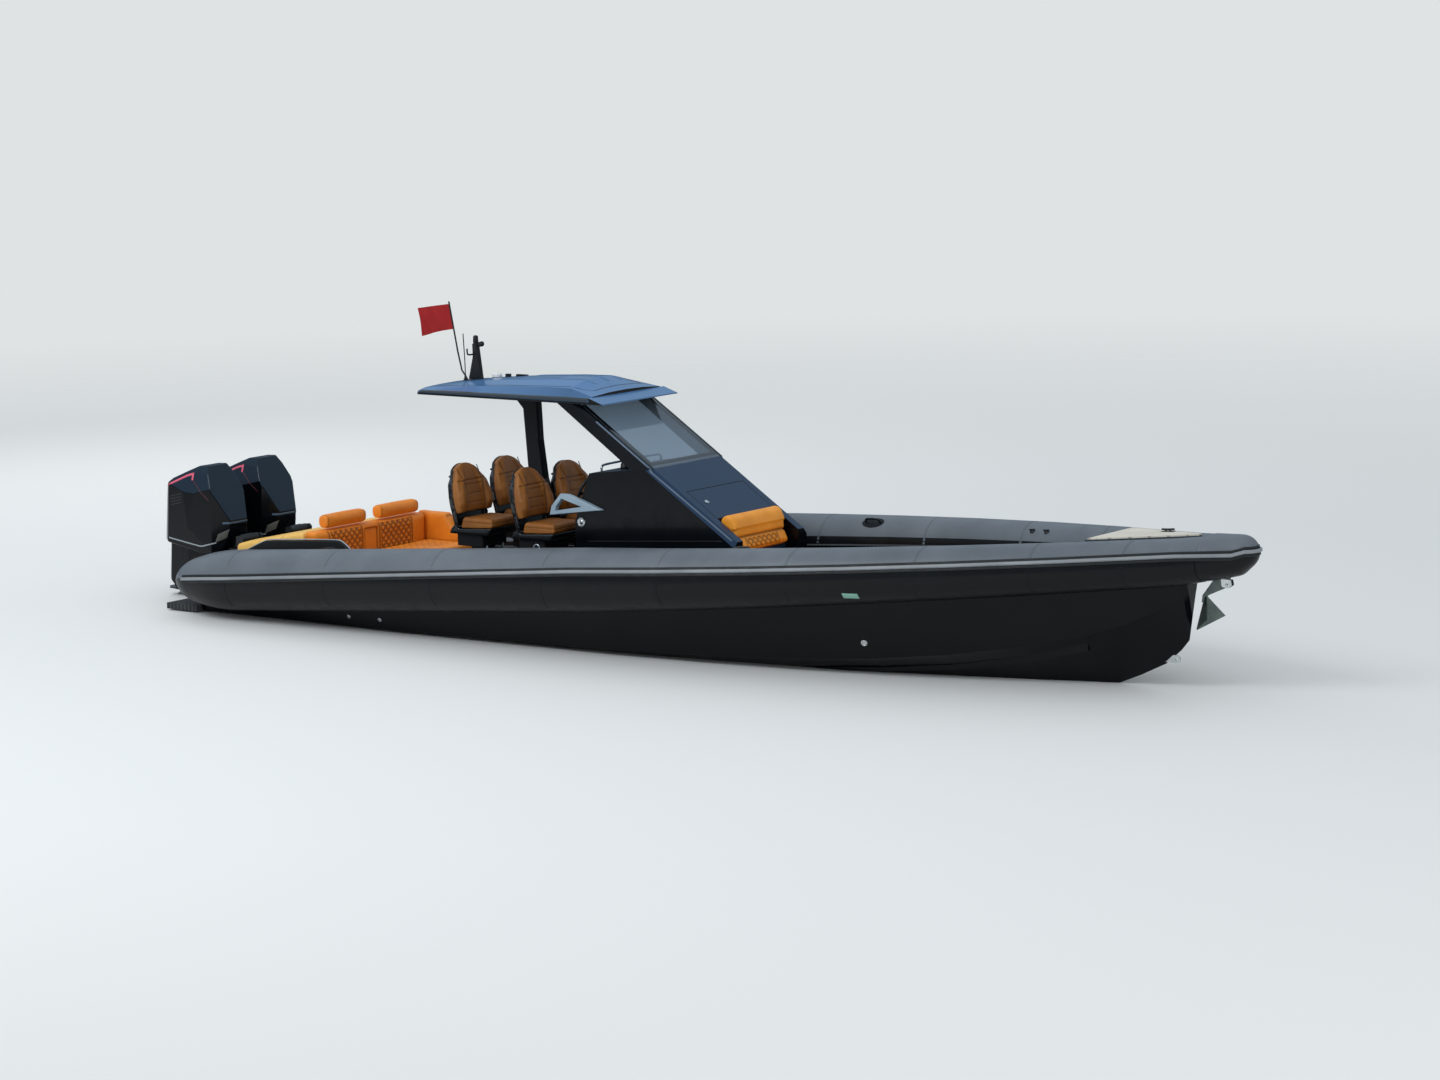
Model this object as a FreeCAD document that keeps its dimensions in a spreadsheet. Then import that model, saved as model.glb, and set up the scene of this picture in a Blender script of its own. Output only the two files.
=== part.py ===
"""Rigid inflatable boat with a centre console, hardtop, four helm seats and twin outboard engines.

Millimetres. X points to the bow, Y to port, Z up. The origin is on the centreline, amidships,
on the waterline.
"""
import FreeCAD, Part
import Sketcher
import math
import os
from FreeCAD import Placement, Rotation, Vector

SIZES = {
    # Inflated tubes: two straight runs that bend in to meet over the stem, and a round nose
    "tube_radius": 300, "tube_offset": 1310, "tube_axis_height": 765, "tube_axis_rise": 0.075,
    "tail_start": -4870, "tail_length": 880, "bend_start": -550, "bend_radius": 14600,
    "bow_tube_radius": 208, "bend_end": 5060,
    "meeting_radius": 180, "meeting_lift": 35, "nose_reach": 88, "nose_lift": 36, "nose_radius": 148,
    "cap_plane": 5300, "cap_lap": 3, "seat_gap": 0.3,
    # Rub rail on the tubes' outer side: a flat strake with a bead along its middle
    "rail_width": 84, "rail_base": 9, "bead_width": 32, "bead_out": 26,
    "rail_angle_aft": 10, "rail_angle_mid": 22, "rail_angle_nose": 8, "rail_end": -5500,
    # Hull
    "sole_height": 300, "deck_over_axis": 30, "side_inset": 20, "chine_flat": 70,
    "cockpit_aft": -5300, "cockpit_bow": 3300, "cockpit_half": 925, "cockpit_bow_half": 465,
    "cockpit_mid": 1500, "cockpit_mid_half": 800, "cockpit_turn": -200,
    "transom": -5600, "transom_wall": 130, "transom_top": 590, "transom_half": 720,
    "spray_rail_width": 55,
    "platform_length": 400, "platform_inner": 735, "platform_outer": 1235,
    "platform_thick": 60, "platform_top": 75,
    # Bow step between the tubes, and the pad on it
    "step_aft": 4270, "step_inset": 95, "step_over_tubes": 6, "pad_thick": 12, "pad_inset": 14,
    # Console
    "console_back": -1060, "console_back_low": -1240, "console_knee": 1150, "console_front": 620,
    "console_half": 575, "console_wall": 40, "console_bevel": 46,
    "console_back_top": 1600, "console_top_end": -560, "console_top_end_height": 1660,
    "console_brow": -330, "console_brow_top": 1680, "console_front_top": 1055,
    "hatch_top": -20, "hatch_knee": 330, "knee_drop": 60, "hatch_foot": 480, "hatch_half": 440,
    "hatch_thick": 32, "hatch_gap": 6, "hatch_rim": 60,
    "front_seat_end": 1150, "front_seat_back": 520, "front_seat_height": 756,
    "front_pad_thick": 96, "bolster_radius": 78, "cushion_thick": 120, "cushion_gap": 9, "soft_gap": 0.3,
    # Windscreen, hardtop and its leg
    "roof_under": 2250, "roof_front": -870, "roof_back": -3150, "roof_half": 585, "visor_rise": 62,
    "visor_run": 170, "pillar_depth": 230, "pillar_thick": 60, "pillar_bevel": 26, "glass_thick": 8,
    "leg_half": 46, "wing_thick": 50,
    # Helm
    "wheel_radius": 185, "wheel_tube": 15, "wheel_y": -270, "wheel_z": 1330,
    "wheel_standoff": 110, "wheel_hub": 45,
    # Helm seats
    "seat_pitch": 770, "seat_row_front": -2130, "seat_spread": 630, "seat_floor": 900,
    # Aft lounge
    "bench_depth": 800, "bench_back": -4420, "bench_height": 500, "bench_back_top": 865,
    "bench_half": 915, "bench_pad": 150, "return_width": 130, "return_length": 380, "return_height": 330,
    "roll_radius": 70, "roll_length": 600, "roll_gap": 200,
    "module_back": -5390, "module_low": 570, "module_rise": 190, "sunpad_thick": 90,
    # Engines
    "engine_half_spacing": 368, "pivot_x": -5660, "pivot_z": 640, "rest_trim": 4,
    "steer_back": 200, "swivel_shaft": 30, "tilt_tube": 24, "fit_gap": 0.5,
    "plate_level": -630, "prop_level": -845, "prop_radius": 188, "gearcase_radius": 62, "prop_back": -800,
    # Mast and flag
    "mast_x": -2870, "mast_top": 2700, "staff_radius": 8, "flag_fly": 400, "flag_hoist": 250,
    "flag_thick": 2,
    "eye_hole": 16,
}

doc = FreeCAD.newDocument("boat")
sheet = doc.addObject("Spreadsheet::Sheet", "sizes")
for row, (alias, value) in enumerate(SIZES.items(), start=1):
    sheet.set(f"A{row}", alias)
    sheet.set(f"B{row}", str(value))
    sheet.setAlias(f"B{row}", alias)
doc.recompute()

nodes = []


def size(alias):
    return float(sheet.get(alias))


def node(obj, label):
    obj.Label = label
    nodes.append(obj)
    return obj


def solid_node(label, shape, placement=Placement()):
    """A sub-part whose form neither sketches nor primitives give."""
    obj = doc.addObject("Part::Feature", label)
    obj.Shape = shape
    obj.Placement = placement
    return node(obj, label)


def bind(obj, **props):
    for prop, expression in props.items():
        obj.setExpression(prop.replace("__", "."), expression)
    return obj


def block(name, length, width, height, x="0", y="0", z="0"):
    """A box whose sizes and lowest corner are expressions of the sheet."""
    obj = doc.addObject("Part::Box", name)
    return bind(obj, Length=length, Width=width, Height=height, Placement__Base__x=x,
                Placement__Base__y=y, Placement__Base__z=z)


def origin_plane(body, role):
    return [f for f in body.Origin.OriginFeatures if f.Role == role][0]


def outline(body, plane, rows, name):
    """A closed polygon sketch, each corner's two distances bound to expressions."""
    sketch = body.newObject("Sketcher::SketchObject", name)
    sketch.AttachmentSupport = [(origin_plane(body, plane), "")]
    sketch.MapMode = "FlatFace"
    points = [Vector(evaluate(a), evaluate(b), 0) for a, b in rows]
    count = len(points)
    for i, point in enumerate(points):
        sketch.addGeometry(Part.LineSegment(point, points[(i + 1) % count]))
    for i in range(count):
        sketch.addConstraint(Sketcher.Constraint("Coincident", i, 2, (i + 1) % count, 1))
    for i, (a, b) in enumerate(rows):
        for kind, expression, value in (("DistanceX", a, points[i].x), ("DistanceY", b, points[i].y)):
            index = sketch.addConstraint(Sketcher.Constraint(kind, -1, 1, i, 1, value))
            sketch.setExpression(f"Constraints[{index}]", expression)
    return sketch


def evaluate(expression):
    """The number that an expression of the sheet's cells gives."""
    for alias in sorted(SIZES, key=len, reverse=True):
        expression = expression.replace(f"sizes.{alias}", f"({size(alias)})")
    return float(FreeCAD.Units.parseQuantity(expression).Value)


def edge_slope(edge):
    """Rise over run of an edge seen from the side; none for one that runs across or straight up."""
    run = edge.Vertexes[1].X - edge.Vertexes[0].X
    return (edge.Vertexes[1].Z - edge.Vertexes[0].Z) / run if abs(run) > 1 else 0.0


def slab(name, plane, rows, thickness, bevel=None):
    """A body padded evenly to both sides of an origin plane from a polygon sketch."""
    body = doc.addObject("PartDesign::Body", name)
    sketch = outline(body, plane, rows, f"{name}_outline")
    pad = body.newObject("PartDesign::Pad", f"{name}_pad")
    pad.Profile = sketch
    pad.Midplane = True
    pad.setExpression("Length", thickness)
    doc.recompute()
    if bevel is not None:
        width, chosen = bevel
        edges = [f"Edge{i + 1}" for i, edge in enumerate(pad.Shape.Edges) if chosen(edge)]
        chamfer = body.newObject("PartDesign::Chamfer", f"{name}_bevel")
        chamfer.Base = (pad, edges)
        chamfer.setExpression("Size", width)
        doc.recompute()
    return body


def soft_block(name, length, width, height, x, y, z, rounding):
    """A cushion: a box with every edge rounded."""
    base = block(f"{name}_box", length, width, height, x, y, z)
    doc.recompute()
    soft = doc.addObject("Part::Fillet", name)
    soft.Base = base
    soft.Edges = [(i + 1, rounding, rounding) for i in range(len(base.Shape.Edges))]
    doc.recompute()
    return soft


def group(name, members):
    obj = doc.addObject("Part::Compound", name)
    obj.Links = members
    return obj


def cut(name, base, tool):
    obj = doc.addObject("Part::Cut", name)
    obj.Base = base
    obj.Tool = tool
    return obj


def wire(points):
    return Part.makePolygon([Vector(*p) for p in points] + [Vector(*points[0])])


def prism(points, direction):
    return Part.Face(wire(points)).extrude(Vector(*direction))


# The tubes' centreline, seen from above, is a straight run and then an arc that ends in a short
# straight run to the point where both tubes meet.
def axis_height(x):
    return size("tube_axis_height") + size("tube_axis_rise") * x


def axis_offset(x):
    run = max(0.0, x - size("bend_start"))
    radius = size("bend_radius")
    return size("tube_offset") - radius + math.sqrt(radius ** 2 - run ** 2)


def axis_turn(x):
    return math.asin(max(0.0, x - size("bend_start")) / size("bend_radius"))


def axis_point(x):
    return Vector(x, axis_offset(x), axis_height(x))


def axis_direction(x):
    turn = axis_turn(x)
    return Vector(math.cos(turn), -math.sin(turn), size("tube_axis_rise") * math.cos(turn)).normalize()


def tube_radius_at(x):
    bend, end = size("bend_start"), size("bend_end")
    share = min(max((x - bend) / (end - bend), 0), 1)
    return size("tube_radius") + (size("bow_tube_radius") - size("tube_radius")) * share


def meeting_point():
    """Where the two centrelines meet, ahead of the last bend station."""
    x = size("bend_end")
    start, direction = axis_point(x), axis_direction(x)
    return start + direction * (start.y / -direction.y) + Vector(0, 0, size("meeting_lift"))


def nose_point():
    return meeting_point() + Vector(size("nose_reach"), 0, size("nose_lift"))


BEND_STATIONS = 6


def bend_stations():
    first, last = size("bend_start"), size("bend_end")
    return [first + (last - first) * i / BEND_STATIONS for i in range(BEND_STATIONS + 1)]


def centreline():
    """Each joint of the tube: where it is, and the radius of the ball that its runs touch."""
    joints = [(axis_point(x), tube_radius_at(x)) for x in [size("tail_start")] + bend_stations()]
    return joints + [(meeting_point(), size("meeting_radius")), (nose_point(), size("nose_radius"))]


REACH = 16000


def behind(point, normal):
    """A box that fills the space behind a plane."""
    corner = Vector(-REACH / 2, -REACH / 2, -REACH)
    space = Part.makeBox(REACH, REACH, REACH, corner)
    space.Placement = Placement(point, Rotation(Vector(0, 0, 1), normal))
    return space


def seam_plane(before, joint, after):
    """The plane in which two tapered runs that touch the same ball meet."""
    terms = []
    for (p, p_radius), (q, q_radius) in ((before, joint), (joint, after)):
        taper = math.asin((p_radius - q_radius) / (q - p).Length)
        terms.append(((q - p).normalize() * (1 / math.cos(taper)), math.tan(taper)))
    normal = terms[0][0] + terms[1][0]
    shift = joint[1] * (terms[0][1] + terms[1][1]) / normal.Length
    normal.normalize()
    return joint[0] + normal * shift, normal


def tapered_run(start, end, overrun):
    """A cone, or a cylinder, that touches the balls at both of its ends, longer at each by overrun."""
    (p, p_radius), (q, q_radius) = start, end
    along = q - p
    taper = math.asin((p_radius - q_radius) / along.Length)
    length = along.Length + 2 * overrun
    along.normalize()
    foot = p - along * overrun
    if abs(taper) < 1e-6:
        return Part.makeCylinder(p_radius, length, foot, along)
    first = p_radius / math.cos(taper) + overrun * math.tan(taper)
    last = q_radius / math.cos(taper) - overrun * math.tan(taper)
    return Part.makeCone(first, last, length, foot, along)


def tail(extra):
    """The tapered end of a tube: half an ellipse in outline, with a small flat tip."""
    start, length, radius = size("tail_start"), size("tail_length"), size("tube_radius") + extra
    direction = axis_direction(start)
    side = Vector(0, 0, 1) - direction * direction.z
    side.normalize()

    def at(share):
        reach = length * share
        height = radius * math.sqrt(1 - share ** 2)
        return axis_point(start) - direction * reach + side * height

    tip = axis_point(start) - direction * (length * 0.975)
    edges = [Part.LineSegment(axis_point(start), at(0)).toShape(),
             Part.Arc(at(0), at(0.33), at(0.62)).toShape(),
             Part.Arc(at(0.62), at(0.84), at(0.975)).toShape(),
             Part.LineSegment(at(0.975), tip).toShape(),
             Part.LineSegment(tip, axis_point(start)).toShape()]
    return Part.Face(Part.Wire(edges)).revolve(axis_point(start), direction, 360)


def last_run(start, end, overrun):
    """The run that ends a centreline, and its round end, in one turn."""
    (p, p_radius), (q, q_radius) = start, end
    along = q - p
    taper = math.asin((p_radius - q_radius) / along.Length)
    along.normalize()
    side = (Vector(0, 0, 1) - along * along.z).normalize()
    foot = p - along * overrun
    first = p_radius / math.cos(taper) + overrun * math.tan(taper)
    touch = q + side * (q_radius * math.cos(taper)) + along * (q_radius * math.sin(taper))
    halfway = (math.pi / 2 + taper) / 2
    middle = q + side * (q_radius * math.sin(halfway)) + along * (q_radius * math.cos(halfway))
    tip = q + along * q_radius
    edges = [Part.LineSegment(foot, foot + side * first).toShape(),
             Part.LineSegment(foot + side * first, touch).toShape(),
             Part.Arc(touch, middle, tip).toShape(),
             Part.LineSegment(tip, foot).toShape()]
    return Part.Face(Part.Wire(edges)).revolve(foot, along, 360)


def mitred_runs(joints, first):
    """The runs from the first joint on, each cut where it meets the next."""
    seams = [seam_plane(*joints[i - 1:i + 2]) for i in range(1, len(joints) - 1)]
    overrun = 0.6 * size("tube_radius")
    pieces = []
    for i in range(first, len(joints) - 1):
        run = last_run if i == len(seams) else tapered_run
        piece = run(joints[i], joints[i + 1], overrun)
        if i < len(seams):
            piece = piece.common(behind(*seams[i]))
        if i > 0:
            piece = piece.cut(behind(*seams[i - 1]))
        else:
            piece = piece.cut(behind(joints[0][0], axis_direction(size("tail_start"))))
        pieces.append(piece)
    return pieces


def port_tube(extra=0.0):
    """Tail, straight run, bend of mitred runs and the round nose, as one solid."""
    joints = [(point, radius + extra) for point, radius in centreline()]
    return tail(extra).fuse(mitred_runs(joints, 0))


def beyond(x, ahead):
    """A box that holds everything ahead of, or behind, a cross plane."""
    return Part.makeBox(REACH, REACH, REACH, Vector(x if ahead else x - REACH, -REACH / 2, -REACH / 2))


def mirror_y(shape):
    return shape.mirror(Vector(0, 0, 0), Vector(0, 1, 0))


def across(y):
    """A box that holds everything on the starboard side of a lengthwise plane."""
    return Part.makeBox(REACH, REACH, REACH, Vector(-REACH / 2, y - REACH, -REACH / 2))


def bow_nose(extra=0.0):
    """Both tubes' last runs and the round nose over the stem."""
    joints = [(point, radius + extra) for point, radius in centreline()]
    runs = [piece.cut(across(0)) for piece in mitred_runs(joints, len(joints) - 3)]
    half = runs[0].fuse(runs[1:])
    return half.fuse(mirror_y(half)).removeSplitter()


port = port_tube().cut(beyond(size("cap_plane") - size("seat_gap"), True)).cut(across(size("seat_gap") / 2))
port = max(port.Solids, key=lambda s: s.Volume)
solid_node("tube_port", port)
solid_node("tube_starboard", mirror_y(port))
nose = bow_nose(size("cap_lap")).cut(beyond(size("cap_plane"), False))
solid_node("bow_cap", max(nose.Solids, key=lambda s: s.Volume))
tubes_clear = [port_tube(size("seat_gap")), mirror_y(port_tube(size("seat_gap")))]

# Hull stations: half breadths and heights of the chine, and the keel's height
HULL_STATIONS = [
    # x, chine half breadth, chine height, keel height
    (-5600, 1130, 10, -400),
    (-3000, 1165, 20, -410),
    (-400, 1140, 55, -410),
    (600, 1075, 80, -408),
    (1500, 985, 115, -398),
    (2300, 868, 168, -375),
    (3000, 728, 238, -330),
    (3700, 562, 345, -222),
    (4250, 400, 460, -50),
    (4600, 290, 580, 95),
    (4850, 205, 690, 215),
    (5000, 145, 775, 345),
    (5080, 104, 830, 440),
    (5110, 72, 880, 640),
]


def hull_section(x, chine_half, chine_height, keel):
    sheer_half = axis_offset(x) - size("side_inset")
    sheer = axis_height(x) + size("deck_over_axis")
    flat = size("chine_flat") * chine_half / HULL_STATIONS[1][1]
    half = [(x, chine_half - flat, chine_height), (x, chine_half, chine_height), (x, sheer_half, sheer)]
    other = [(x, -y, z) for x, y, z in reversed(half)]
    return wire([(x, 0, keel)] + half + other)


def bottom_height(x, y):
    """Height of the bottom panel at a station and a half breadth."""
    table = HULL_STATIONS
    for a, b in zip(table, table[1:]):
        if a[0] <= x <= b[0]:
            share = (x - a[0]) / (b[0] - a[0])
            chine_half, chine, keel = [p + (q - p) * share for p, q in zip(a[1:], b[1:])]
            inner = chine_half - size("chine_flat") * chine_half / table[1][1]
            return keel + (chine - keel) * y / inner
    raise ValueError("station outside the hull")


def hull():
    body = Part.makeLoft([hull_section(*row) for row in HULL_STATIONS], True, True)
    for last, share in ((3000, 0.36), (4250, 0.68)):
        sections = []
        for x, half, _, _ in [row for row in HULL_STATIONS if row[0] <= last]:
            y = share * half
            width = size("spray_rail_width")
            inner, outer = bottom_height(x, y), bottom_height(x, y + width)
            sections.append(wire([(x, y, inner + 12), (x, y + width, outer + 12), (x, y + width, inner + 2)]))
        strake = Part.makeLoft(sections, True, True)
        body = body.fuse([strake, mirror_y(strake)])
    wall = Part.makeBox(size("transom_wall"), 2 * size("transom_half"), size("transom_top") - size("sole_height"),
                        Vector(size("transom"), -size("transom_half"), size("sole_height")))
    body = body.fuse(wall)
    half, mid, bow = size("cockpit_half"), size("cockpit_mid_half"), size("cockpit_bow_half")
    side = [(size("cockpit_aft"), half), (size("cockpit_turn"), half), (size("cockpit_mid"), mid),
            (size("cockpit_bow"), bow)]
    plan = [(x, y, size("sole_height")) for x, y in side]
    plan += [(x, -y, size("sole_height")) for x, y in reversed(side)]
    well = prism(plan, (0, 0, 2000))
    return body.cut([well] + tubes_clear)


hull_shape = hull()
hull_shape = max(hull_shape.Solids, key=lambda s: s.Volume)
solid_node("hull", hull_shape)


# Rub rail: each station is a point on the tube, the way out from it and the way up along it
def rail_angle(x):
    """How far above level the rail sits on the tube, by station."""
    share = (x - size("tail_start")) / (size("bend_start") - size("tail_start"))
    return size("rail_angle_aft") + (size("rail_angle_mid") - size("rail_angle_aft")) * min(max(share, 0), 1)


def rail_station(centre, radius, heading, angle):
    """A station beside a centre, for a tube that runs toward heading, in degrees from ahead."""
    side = Vector(math.sin(math.radians(heading)), math.cos(math.radians(heading)), 0)
    out = side * math.cos(math.radians(angle)) + Vector(0, 0, math.sin(math.radians(angle)))
    up = Vector(0, 0, math.cos(math.radians(angle))) - side * math.sin(math.radians(angle))
    return centre + out * radius, out, up


def tail_radius(x):
    share = (size("tail_start") - x) / size("tail_length")
    return size("tube_radius") * math.sqrt(1 - share ** 2)


def rail_stations():
    start, end = size("tail_start"), size("rail_end")
    rows = [rail_station(axis_point(x), tail_radius(x), 0, rail_angle(x))
            for x in (end, end + 0.35 * (start - end), end + 0.7 * (start - end))]
    for x in [start] + bend_stations():
        rows.append(rail_station(axis_point(x), tube_radius_at(x), math.degrees(axis_turn(x)), rail_angle(x)))
    turn = math.degrees(axis_turn(size("bend_end")))
    rows.append(rail_station(meeting_point(), size("meeting_radius"), turn, size("rail_angle_nose")))
    for heading in (turn + 12, 50, 70, 90):
        rows.append(rail_station(nose_point(), size("nose_radius"), heading, size("rail_angle_nose")))
    return rows


def rail_strip(rows):
    """A strip whose section is given by (up, out) rows, seated on the tubes."""
    sections = []
    for base, out, up in rail_stations():
        sections.append(wire([base + up * a + out * b for a, b in rows]))
    return Part.makeLoft(sections, True, True)


RAIL_SINK, RAIL_BEVEL = -14, 8
half_rail, half_bead = size("rail_width") / 2, size("bead_width") / 2
low, high, top = size("rail_base") - 0.5 * RAIL_BEVEL, size("rail_base"), size("bead_out")
strake_rows = [(-half_rail, RAIL_SINK), (-half_rail, low), (RAIL_BEVEL - half_rail, high),
               (half_rail - RAIL_BEVEL, high), (half_rail, low), (half_rail, RAIL_SINK)]
seat = high + size("seat_gap")
bead_rows = [(-half_bead, seat), (-half_bead, 0.6 * top), (-0.6 * half_bead, top), (0.6 * half_bead, top),
             (half_bead, 0.6 * top), (half_bead, seat)]
port_side = across(size("seat_gap") / 2)
tubes_seat = port_tube(size("seat_gap"))
cap_seat = bow_nose(size("cap_lap") + size("seat_gap")).cut(beyond(size("cap_plane") - 1, False))


def largest(shape):
    return max(shape.Solids, key=lambda solid: solid.Volume)


strake = largest(rail_strip(strake_rows).cut([tubes_seat, cap_seat, port_side]))
bead = largest(rail_strip(bead_rows).cut(port_side))
solid_node("rub_rails", Part.makeCompound([strake, mirror_y(strake)]))
solid_node("rail_beads", Part.makeCompound([bead, mirror_y(bead)]))

# Swim platforms either side of the engines
platforms = []
for name, y in (("platform_port", "sizes.platform_inner"), ("platform_starboard", "-sizes.platform_outer")):
    platforms.append(block(name, "sizes.platform_length", "sizes.platform_outer - sizes.platform_inner",
                           "sizes.platform_thick", "sizes.transom - sizes.platform_length", y,
                           "sizes.platform_top - sizes.platform_thick"))
node(group("platforms", platforms), "swim_platforms")


# Bow step: a moulded deck between the tubes, level with their tops, and the pad on it
def crest(x):
    return axis_height(x) + tube_radius_at(x)


def step_height(x):
    aft, end = size("step_aft"), size("bend_end")
    rise = (crest(end) - crest(aft)) / (end - aft)
    return crest(aft) + size("step_over_tubes") + rise * (x - aft)


def step_outline(aft, inset):
    """Corners from above: the sides follow the tubes in to a blunt bow end."""
    end = size("bend_end") + 40
    side = [(x, axis_offset(x) - inset) for x in (aft, (aft + end) / 2, end)]
    side.append((end + 90, 0.35 * side[-1][1]))
    return side + [(x, -y) for x, y in reversed(side)]


def bow_step():
    outline = step_outline(size("step_aft"), size("step_inset"))
    gap = size("deck_over_axis") + size("seat_gap")
    top = wire([(x, y, step_height(x)) for x, y in outline])
    foot = wire([(x, y, axis_height(x) + gap) for x, y in outline])
    return largest(Part.makeLoft([foot, top], True, True).cut(tubes_clear + [cap_seat]))


def foredeck_pad():
    outline = step_outline(size("step_aft") + size("pad_inset"), size("step_inset") + size("pad_inset"))
    return prism([(x, y, step_height(x) + size("seat_gap")) for x, y in outline], (0, 0, size("pad_thick")))


solid_node("bow_step", bow_step())
solid_node("foredeck_pad", foredeck_pad())

# Console: a hollow moulding with a sloping front, open at the hatch
SLOPE = "(sizes.console_brow_top - sizes.console_front_top) / (sizes.console_front - sizes.console_brow)"


def on_slope(x, lift="0"):
    """A corner on the console's sloping front face, in expressions."""
    return x, f"sizes.console_brow_top - {SLOPE} * ({x} - sizes.console_brow) + {lift}"


FLOOR = "sizes.sole_height + sizes.seat_gap"
HATCH_LEVEL = "(sizes.front_seat_height + sizes.cushion_thick + sizes.cushion_gap)"
console_outer = slab("console_outer", "XZ_Plane", [
    ("sizes.console_back_low", FLOOR),
    ("sizes.console_back_low", "sizes.console_knee"),
    ("sizes.console_back", "sizes.console_back_top"),
    ("sizes.console_top_end", "sizes.console_top_end_height"),
    ("sizes.console_brow", "sizes.console_brow_top"),
    ("sizes.console_front", "sizes.console_front_top"),
    ("sizes.console_front", FLOOR),
], "2 * sizes.console_half", bevel=("sizes.console_bevel", lambda edge: abs(edge_slope(edge)) > 0.5
                                   and edge.CenterOfMass.x > size("console_brow")))
BELOW = "sizes.sole_height - 20"
console_room = slab("console_room", "XZ_Plane", [
    ("sizes.console_back_low + sizes.console_wall", BELOW),
    ("sizes.console_back_low + sizes.console_wall", "sizes.console_knee"),
    ("sizes.console_back + sizes.console_wall", "sizes.console_back_top - sizes.console_wall"),
    ("sizes.console_top_end", "sizes.console_top_end_height - 1.2 * sizes.console_wall"),
    ("sizes.console_brow - sizes.console_wall", "sizes.console_brow_top - 1.2 * sizes.console_wall"),
    on_slope("sizes.hatch_top - sizes.console_wall", "-1.2 * sizes.console_wall"),
    ("sizes.hatch_top - sizes.console_wall", BELOW),
], "2 * (sizes.console_half - sizes.console_bevel - 0.5 * sizes.console_wall)")
FRONT_ROOM_HALF = "(sizes.hatch_half - sizes.console_wall)"
console_front_room = slab("console_front_room", "XZ_Plane", [
    ("sizes.hatch_top - 2 * sizes.console_wall", BELOW),
    on_slope("sizes.hatch_top - 2 * sizes.console_wall", "-3 * sizes.console_wall"),
    on_slope("sizes.hatch_knee - 2 * sizes.console_wall", "-sizes.knee_drop - 2 * sizes.console_wall"),
    ("sizes.hatch_foot - 2 * sizes.console_wall", f"{HATCH_LEVEL} - sizes.console_wall"),
    ("sizes.hatch_foot - 2 * sizes.console_wall", BELOW),
], f"2 * {FRONT_ROOM_HALF}")
hatch_seat = slab("hatch_seat", "XZ_Plane", [
    on_slope("sizes.hatch_top", "120"),
    on_slope("sizes.hatch_top", "-sizes.hatch_thick - sizes.hatch_gap"),
    on_slope("sizes.hatch_knee - sizes.hatch_thick", "-sizes.hatch_thick - sizes.hatch_gap"),
    on_slope("sizes.hatch_knee - sizes.hatch_thick - sizes.hatch_gap", "-sizes.knee_drop - sizes.hatch_thick"),
    ("sizes.hatch_foot - sizes.hatch_thick - 1.3 * sizes.hatch_gap", f"{HATCH_LEVEL} - sizes.hatch_thick"),
    ("sizes.front_seat_back - sizes.hatch_gap", f"{HATCH_LEVEL} - sizes.hatch_thick"),
    ("sizes.front_seat_back - sizes.hatch_gap", "sizes.front_seat_height"),
    ("sizes.console_front + 80", "sizes.front_seat_height"),
    ("sizes.console_front + 80", "sizes.console_brow_top + 120"),
], "2 * sizes.hatch_half")
hatch_way = slab("hatch_way", "XZ_Plane", [
    on_slope("sizes.hatch_top + sizes.hatch_rim", "100"),
    on_slope("sizes.hatch_top + sizes.hatch_rim", "-260"),
    ("sizes.hatch_foot - 0.4 * sizes.hatch_rim - 180", HATCH_LEVEL),
    ("sizes.hatch_foot + 100", HATCH_LEVEL),
    on_slope("sizes.hatch_foot + 100", "100"),
], "2 * (sizes.hatch_half - sizes.hatch_rim)")
console_shell = cut("console_shell", console_outer, console_room)
console_shell_2 = cut("console_shell_2", console_shell, console_front_room)
console_seated = cut("console_seated", console_shell_2, hatch_seat)
node(cut("console_open", console_seated, hatch_way), "console")

HATCH_FACE = [
    on_slope("sizes.hatch_top + sizes.hatch_gap"),
    on_slope("sizes.hatch_knee"),
    on_slope("sizes.hatch_knee", "-sizes.knee_drop"),
    ("sizes.hatch_foot", HATCH_LEVEL),
]
HATCH_BACK = [
    ("sizes.hatch_foot - sizes.hatch_thick", f"{HATCH_LEVEL} - 0.7 * sizes.hatch_thick + sizes.hatch_gap"),
    on_slope("sizes.hatch_knee - sizes.hatch_thick", "-sizes.knee_drop - 0.5 * sizes.hatch_thick"),
    on_slope("sizes.hatch_knee - sizes.hatch_thick", "-sizes.hatch_thick"),
    on_slope("sizes.hatch_top + sizes.hatch_gap", "-sizes.hatch_thick"),
]
hatch = slab("hatch_body", "XZ_Plane", HATCH_FACE + HATCH_BACK, "2 * (sizes.hatch_half - sizes.hatch_gap)")
node(hatch, "console_hatch")


FRONT_SLOPE = ((size("console_brow_top") - size("console_front_top"))
               / (size("console_front") - size("console_brow")))


def slope_height(x):
    return size("console_brow_top") - FRONT_SLOPE * (x - size("console_brow"))


def leaning_pad(foot, head, thickness, half, gap, rounding):
    """A rounded pad that lies on the line from foot to head, seen from the side."""
    along = (head - foot).normalize()
    out = Vector(along.z, 0, -along.x)
    if out.x < 0:
        out = out * -1
    a, b = foot + out * gap, head + out * gap
    rows = [a, a + out * thickness, b + out * thickness, b]
    face = Part.Face(Part.makePolygon([p + Vector(0, -half, 0) for p in rows + rows[:1]]))
    pad = face.extrude(Vector(0, 2 * half, 0))
    return pad.makeFillet(rounding, pad.Edges)


BOLSTER_DOWN = 20


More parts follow.
